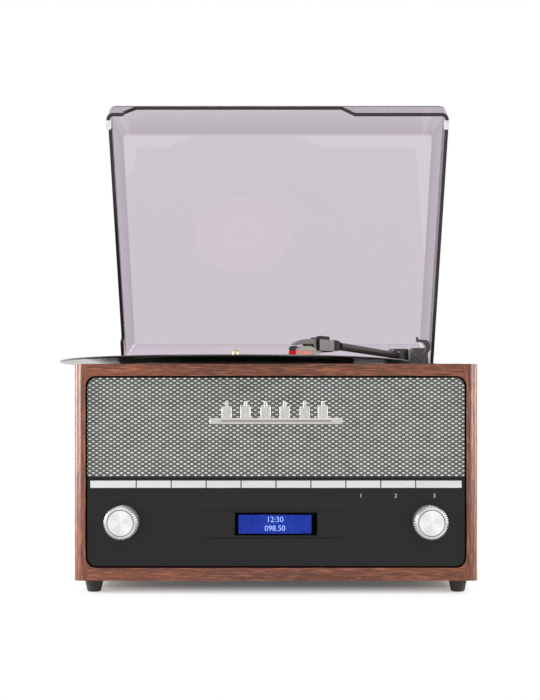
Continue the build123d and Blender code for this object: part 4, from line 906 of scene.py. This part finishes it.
# %% One strip of the lid's edge
HINGE_AT = Vector((0, 0.127, 0.173))
SWING = Matrix.Rotation(math.radians(-60.7), 3, "X")
LID_LEFT, LID_RIGHT = -0.1486, 0.1514
LID_FRONT = -0.1256
LID_LOW = 0.170
EDGE_THICK = 0.0007
edge_dark = plastic("lid_edge_dark", (38, 30, 36), 0.2)


def edge_strip(name, line):
    """A thin strip over a cut edge. line gives its points at a distance into the wall."""
    points = line(0.0) + line(LID_WALL)
    clear_selection()
    bpy.ops.mesh.primitive_grid_add(x_subdivisions=len(points) // 2 - 1, y_subdivisions=1, size=1)
    strip = bpy.context.object
    for vertex, point in zip(strip.data.vertices, points):
        vertex.co = HINGE_AT + SWING @ (Vector(point) - HINGE_AT)
    apply_modifier(strip, "SOLIDIFY", thickness=EDGE_THICK, offset=0)
    return settle(strip, name, edge_dark, "lid")


print("strip material", edge_dark.name)

# %% [markdown]
# The front strip follows the lid's rounded corners, and the cut-out that clears the record. The left one
# steps down behind the cut-out for the record's overhang. The right one is straight.

# %% Dark edge of the lid
LID_ROUND = 0.0065
SIDE_FRONT, SIDE_BACK = -0.1110, 0.1236         # where the side strips start and end
CORNER_BACK = -0.1191                           # where the front strip ends at the sides
FRONT_STEPS = ((0.069, LID_LOW), (0.058, 0.1895), (-0.124, 0.1895), (-0.1336, 0.175), (-0.1336, LID_LOW))
SIDE_STEPS = ((SIDE_FRONT, 0.181), (0.0970, 0.181), (0.0970, LID_LOW), (SIDE_BACK, LID_LOW))


def front_line(inset):
    """The lid's front edge, from the right side to the left."""
    radius = LID_ROUND - inset
    turns = [math.radians(turn) for turn in range(0, 91, 15)]
    bend = [(inset + radius * (1 - math.cos(turn)), inset + radius * (1 - math.sin(turn))) for turn in turns]
    right = [(LID_RIGHT - across, LID_FRONT + back, LID_LOW) for across, back in bend]
    left = [(LID_LEFT + across, LID_FRONT + back, LID_LOW) for across, back in reversed(bend)]
    middle = [(x, LID_FRONT + inset, z) for x, z in FRONT_STEPS]
    ends = [(x, CORNER_BACK, LID_LOW) for x in (LID_RIGHT - inset, LID_LEFT + inset)]
    return [ends[0], *right, *middle, *left, ends[1]]


def right_line(inset):
    """The right wall's lower edge."""
    return [(LID_RIGHT - inset, y, LID_LOW) for y in (SIDE_BACK, SIDE_FRONT)]


def left_line(inset):
    """The left wall's lower edge, with its step."""
    return [(LID_LEFT + inset, y, z) for y, z in SIDE_STEPS]


for name, line in (("front", front_line), ("right", right_line), ("left", left_line)):
    edge_strip("lid_edge_" + name, line)

# %% [markdown]
# The badge on the grille is bright metal, cast or cut from strip, with polished edges. Their shine is a
# painted highlight: a lighter tone wherever the surface turns away from the flat front. A fine speckle
# covers all of it.

# %% Badge metal
badge_bright = finish_named("badge_bright", srgb(190, 187, 184), 0.34, 1.0)
facing = add_node(badge_bright, "TexCoord").outputs["Normal"]
forward = add_node(badge_bright, "SeparateXYZ", {"Vector": facing}).outputs["Y"]
flatness = add_node(badge_bright, "Math", {0: forward}, operation="ABSOLUTE").outputs["Value"]
# painted highlight: lighter where the surface turns away from the flat front
painted_edge_highlight = ramp(badge_bright, flatness, [(0.80, srgb(234, 232, 230)), (0.97, srgb(206, 203, 200))])
speckle = noise(badge_bright, place_scaled(badge_bright), 700.0, 2.0)
speckled = mixed(badge_bright, spread(badge_bright, speckle, 0.0, 0.2), painted_edge_highlight, srgb(190, 187, 184))
feed(badge_bright, {"Base Color": speckled})
bump(badge_bright, speckle, 0.03, 0.0002)
print("badge metal ready")

# %% [markdown]
# Six groups of plain fins stand on a bar, in the place of raised words. One fin is a cube, scaled, applied
# and bevelled. Three make a group, and the group is copied along the bar, each with its own mesh.

# %% Fins of the badge
FIN_SPOTS = (-0.0382, -0.0236, -0.0081, 0.0067, 0.0222, 0.0363)
FIN_WIDE, FIN_DEEP, FIN_EDGE = 0.0025, 0.0014, 0.0005
FINS = ((-0.0026, 0.0095), (0, 0.0136), (0.0026, 0.0095))     # each a place in its group, and a height
FIN_FOOT = 0.0045
badge_low, badge_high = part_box("badge")


def soft_block(place, size, edge):
    """A block at a place, with all its edges bevelled."""
    clear_selection()
    bpy.ops.mesh.primitive_cube_add(size=1, location=place)
    block = bpy.context.object
    open_edit(block, size)
    bpy.ops.mesh.bevel(offset=edge, segments=3)
    close_edit()
    return block


fin_y = badge_high[1] - FIN_DEEP / 2
fins = [soft_block((FIN_SPOTS[0] + shift, fin_y, badge_low[2] + FIN_FOOT + tall / 2),
                   (FIN_WIDE, FIN_DEEP, tall), FIN_EDGE)
        for shift, tall in FINS]
select_only(*fins)
bpy.ops.object.join()
groups = [fins[0]]
for spot in FIN_SPOTS[1:]:
    groups.append(copy_of(fins[0]))
    groups[-1].location.x = spot - FIN_SPOTS[0]
for number, piece in enumerate(groups, 1):
    settle(piece, f"badge_fins_{number}", badge_bright, "cabinet")

# %% [markdown]
# The bar below the fins has a thin groove along its front: an inset, drawn shorter and pushed in. A darker
# strip lies in the groove as painted shade.

# %% Bar of the badge
BAR_SIZE = (0.1026, 0.0016, 0.0050)
GROOVE_SIZE = (0.0850, 0.0003, 0.0011)
GROOVE_DEEP = 0.0005
bar_mid = badge_low[2] + BAR_SIZE[2] / 2
strip = soft_block((0, badge_high[1] - BAR_SIZE[1] / 2, bar_mid), BAR_SIZE, 0.0007)
open_edit(strip)
pick(strip, "FACE", lambda face: face.normal.y < -0.99)
bpy.ops.mesh.inset(thickness=0.0012)
bpy.ops.transform.resize(value=(0.87, 1, 1), center_override=(0, 0, 0))
bpy.ops.mesh.inset(thickness=0.00005)
bpy.ops.transform.translate(value=(0, GROOVE_DEEP, 0))
close_edit()
# a darker strip in the groove, as painted shade
groove_shade_strip = soft_block((0, badge_low[1] + 0.00045, bar_mid), GROOVE_SIZE, 0.0001)
settle(strip, "badge_bar", badge_bright, "cabinet")
settle(groove_shade_strip, "badge_groove_shade", metal("badge_shade", (150, 147, 144), 0.4), "cabinet")
for piece in (*groups, strip, groove_shade_strip):
    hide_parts("badge")

# %% [markdown]
# The display is a small liquid-crystal panel behind a dark window: a black bezel, and a lit blue area. The
# blue is mostly light given out by the panel, so it is set as emission. The area is a thin plane with
# rounded corners, extruded back a little.

# %% Display
LIT_W = 0.0567
LIT_H = 0.0146
LIT_THICK = 0.00012
LIT_SHIFT = -0.0008         # the lit area sits a little to the left
lens_low, lens_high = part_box("display_lens")
module_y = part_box("display_module")[0][1]
lens_mid = (lens_low[2] + lens_high[2]) / 2

window_clear = finish_named("window_clear", (0.92, 0.92, 0.95), 0.03, Transmission_Weight=1.0, IOR=1.06)
bump(window_clear, noise(window_clear, place_scaled(window_clear), 60.0), 0.02, 0.0002)
dress(window_clear, "display_lens")
dress(plastic("bezel_black", (6, 6, 7), 0.6, gloss=0.0), "display_module")


def glowing(name, colour, strength, scale, detail, dim, bright, **sockets):
    """A finish that gives out light, in tones between a dim and a bright one."""
    material = finish_named(name, colour, 0.5, Emission_Strength=strength, **sockets)
    tone = ramp(material, noise(material, place_scaled(material), scale, detail), [(0.3, dim), (0.7, bright)])
    feed(material, {"Emission Color": tone})
    return material


clear_selection()
bpy.ops.mesh.primitive_plane_add(
    size=1, rotation=UPRIGHT, location=(LIT_SHIFT, module_y - LIT_THICK, lens_mid - 0.0003))
lit = bpy.context.object
open_edit(lit, (LIT_W, LIT_H, 1))
bpy.ops.mesh.bevel(affect="VERTICES", offset=0.0004, segments=2)
bpy.ops.mesh.extrude_region_move(TRANSFORM_OT_translate={"value": (0, LIT_THICK, 0)})
close_edit(face_out=True)
display_blue = glowing("display_blue", srgb(6, 10, 34), 1.0, 90.0, 2.0, srgb(30, 52, 152), srgb(38, 63, 172),
                       Specular_IOR_Level=0.05)
settle(lit, "display_area", display_blue, "cabinet")

# %% [markdown]
# The numerals on the display, and the three on the panel below the buttons, are plain figures. Each is
# made from text, turned upright, made into a thin mesh and placed just in front of its surface.

# %% Numerals
FIGURE_TALL = 0.0042
PRINT_TALL = 0.0030
PRINT_Z = 0.0655
CAPITAL = 0.7               # a capital's height, as a share of the text size


def figures(name, words, tall, place, material):
    """Plain printed numerals, as a thin mesh that faces the front."""
    clear_selection()
    bpy.ops.object.text_add(location=place, rotation=UPRIGHT)
    text = bpy.context.object.data
    text.body = words
    text.align_x = "CENTER"
    text.align_y = "CENTER"
    text.size = tall / CAPITAL
    text.extrude = 0.00002
    text.resolution_u = 3
    bpy.ops.object.convert(target="MESH")
    return settle(bpy.context.object, name, material, "cabinet")


figure_pale = glowing("figure_pale", srgb(150, 175, 240), 0.75, 800.0, 4.0, srgb(140, 165, 238),
                      srgb(165, 188, 248))
figure_y = module_y - LIT_THICK - 0.00006
for name, words, rise in (("upper", "12:30", 0.0032), ("lower", "098.50", -0.0036)):
    place = (LIT_SHIFT, figure_y, lens_mid + rise)
    figures("display_figures_" + name, words, FIGURE_TALL, place, figure_pale)
print_white = plastic("print_white", (222, 222, 222), 0.5)
for number, x in (("1", 0.0657), ("2", 0.0927), ("3", 0.1226)):
    figures("number_" + number, number, PRINT_TALL, (x, panel_low[1] - 0.00002, PRINT_Z), print_white)
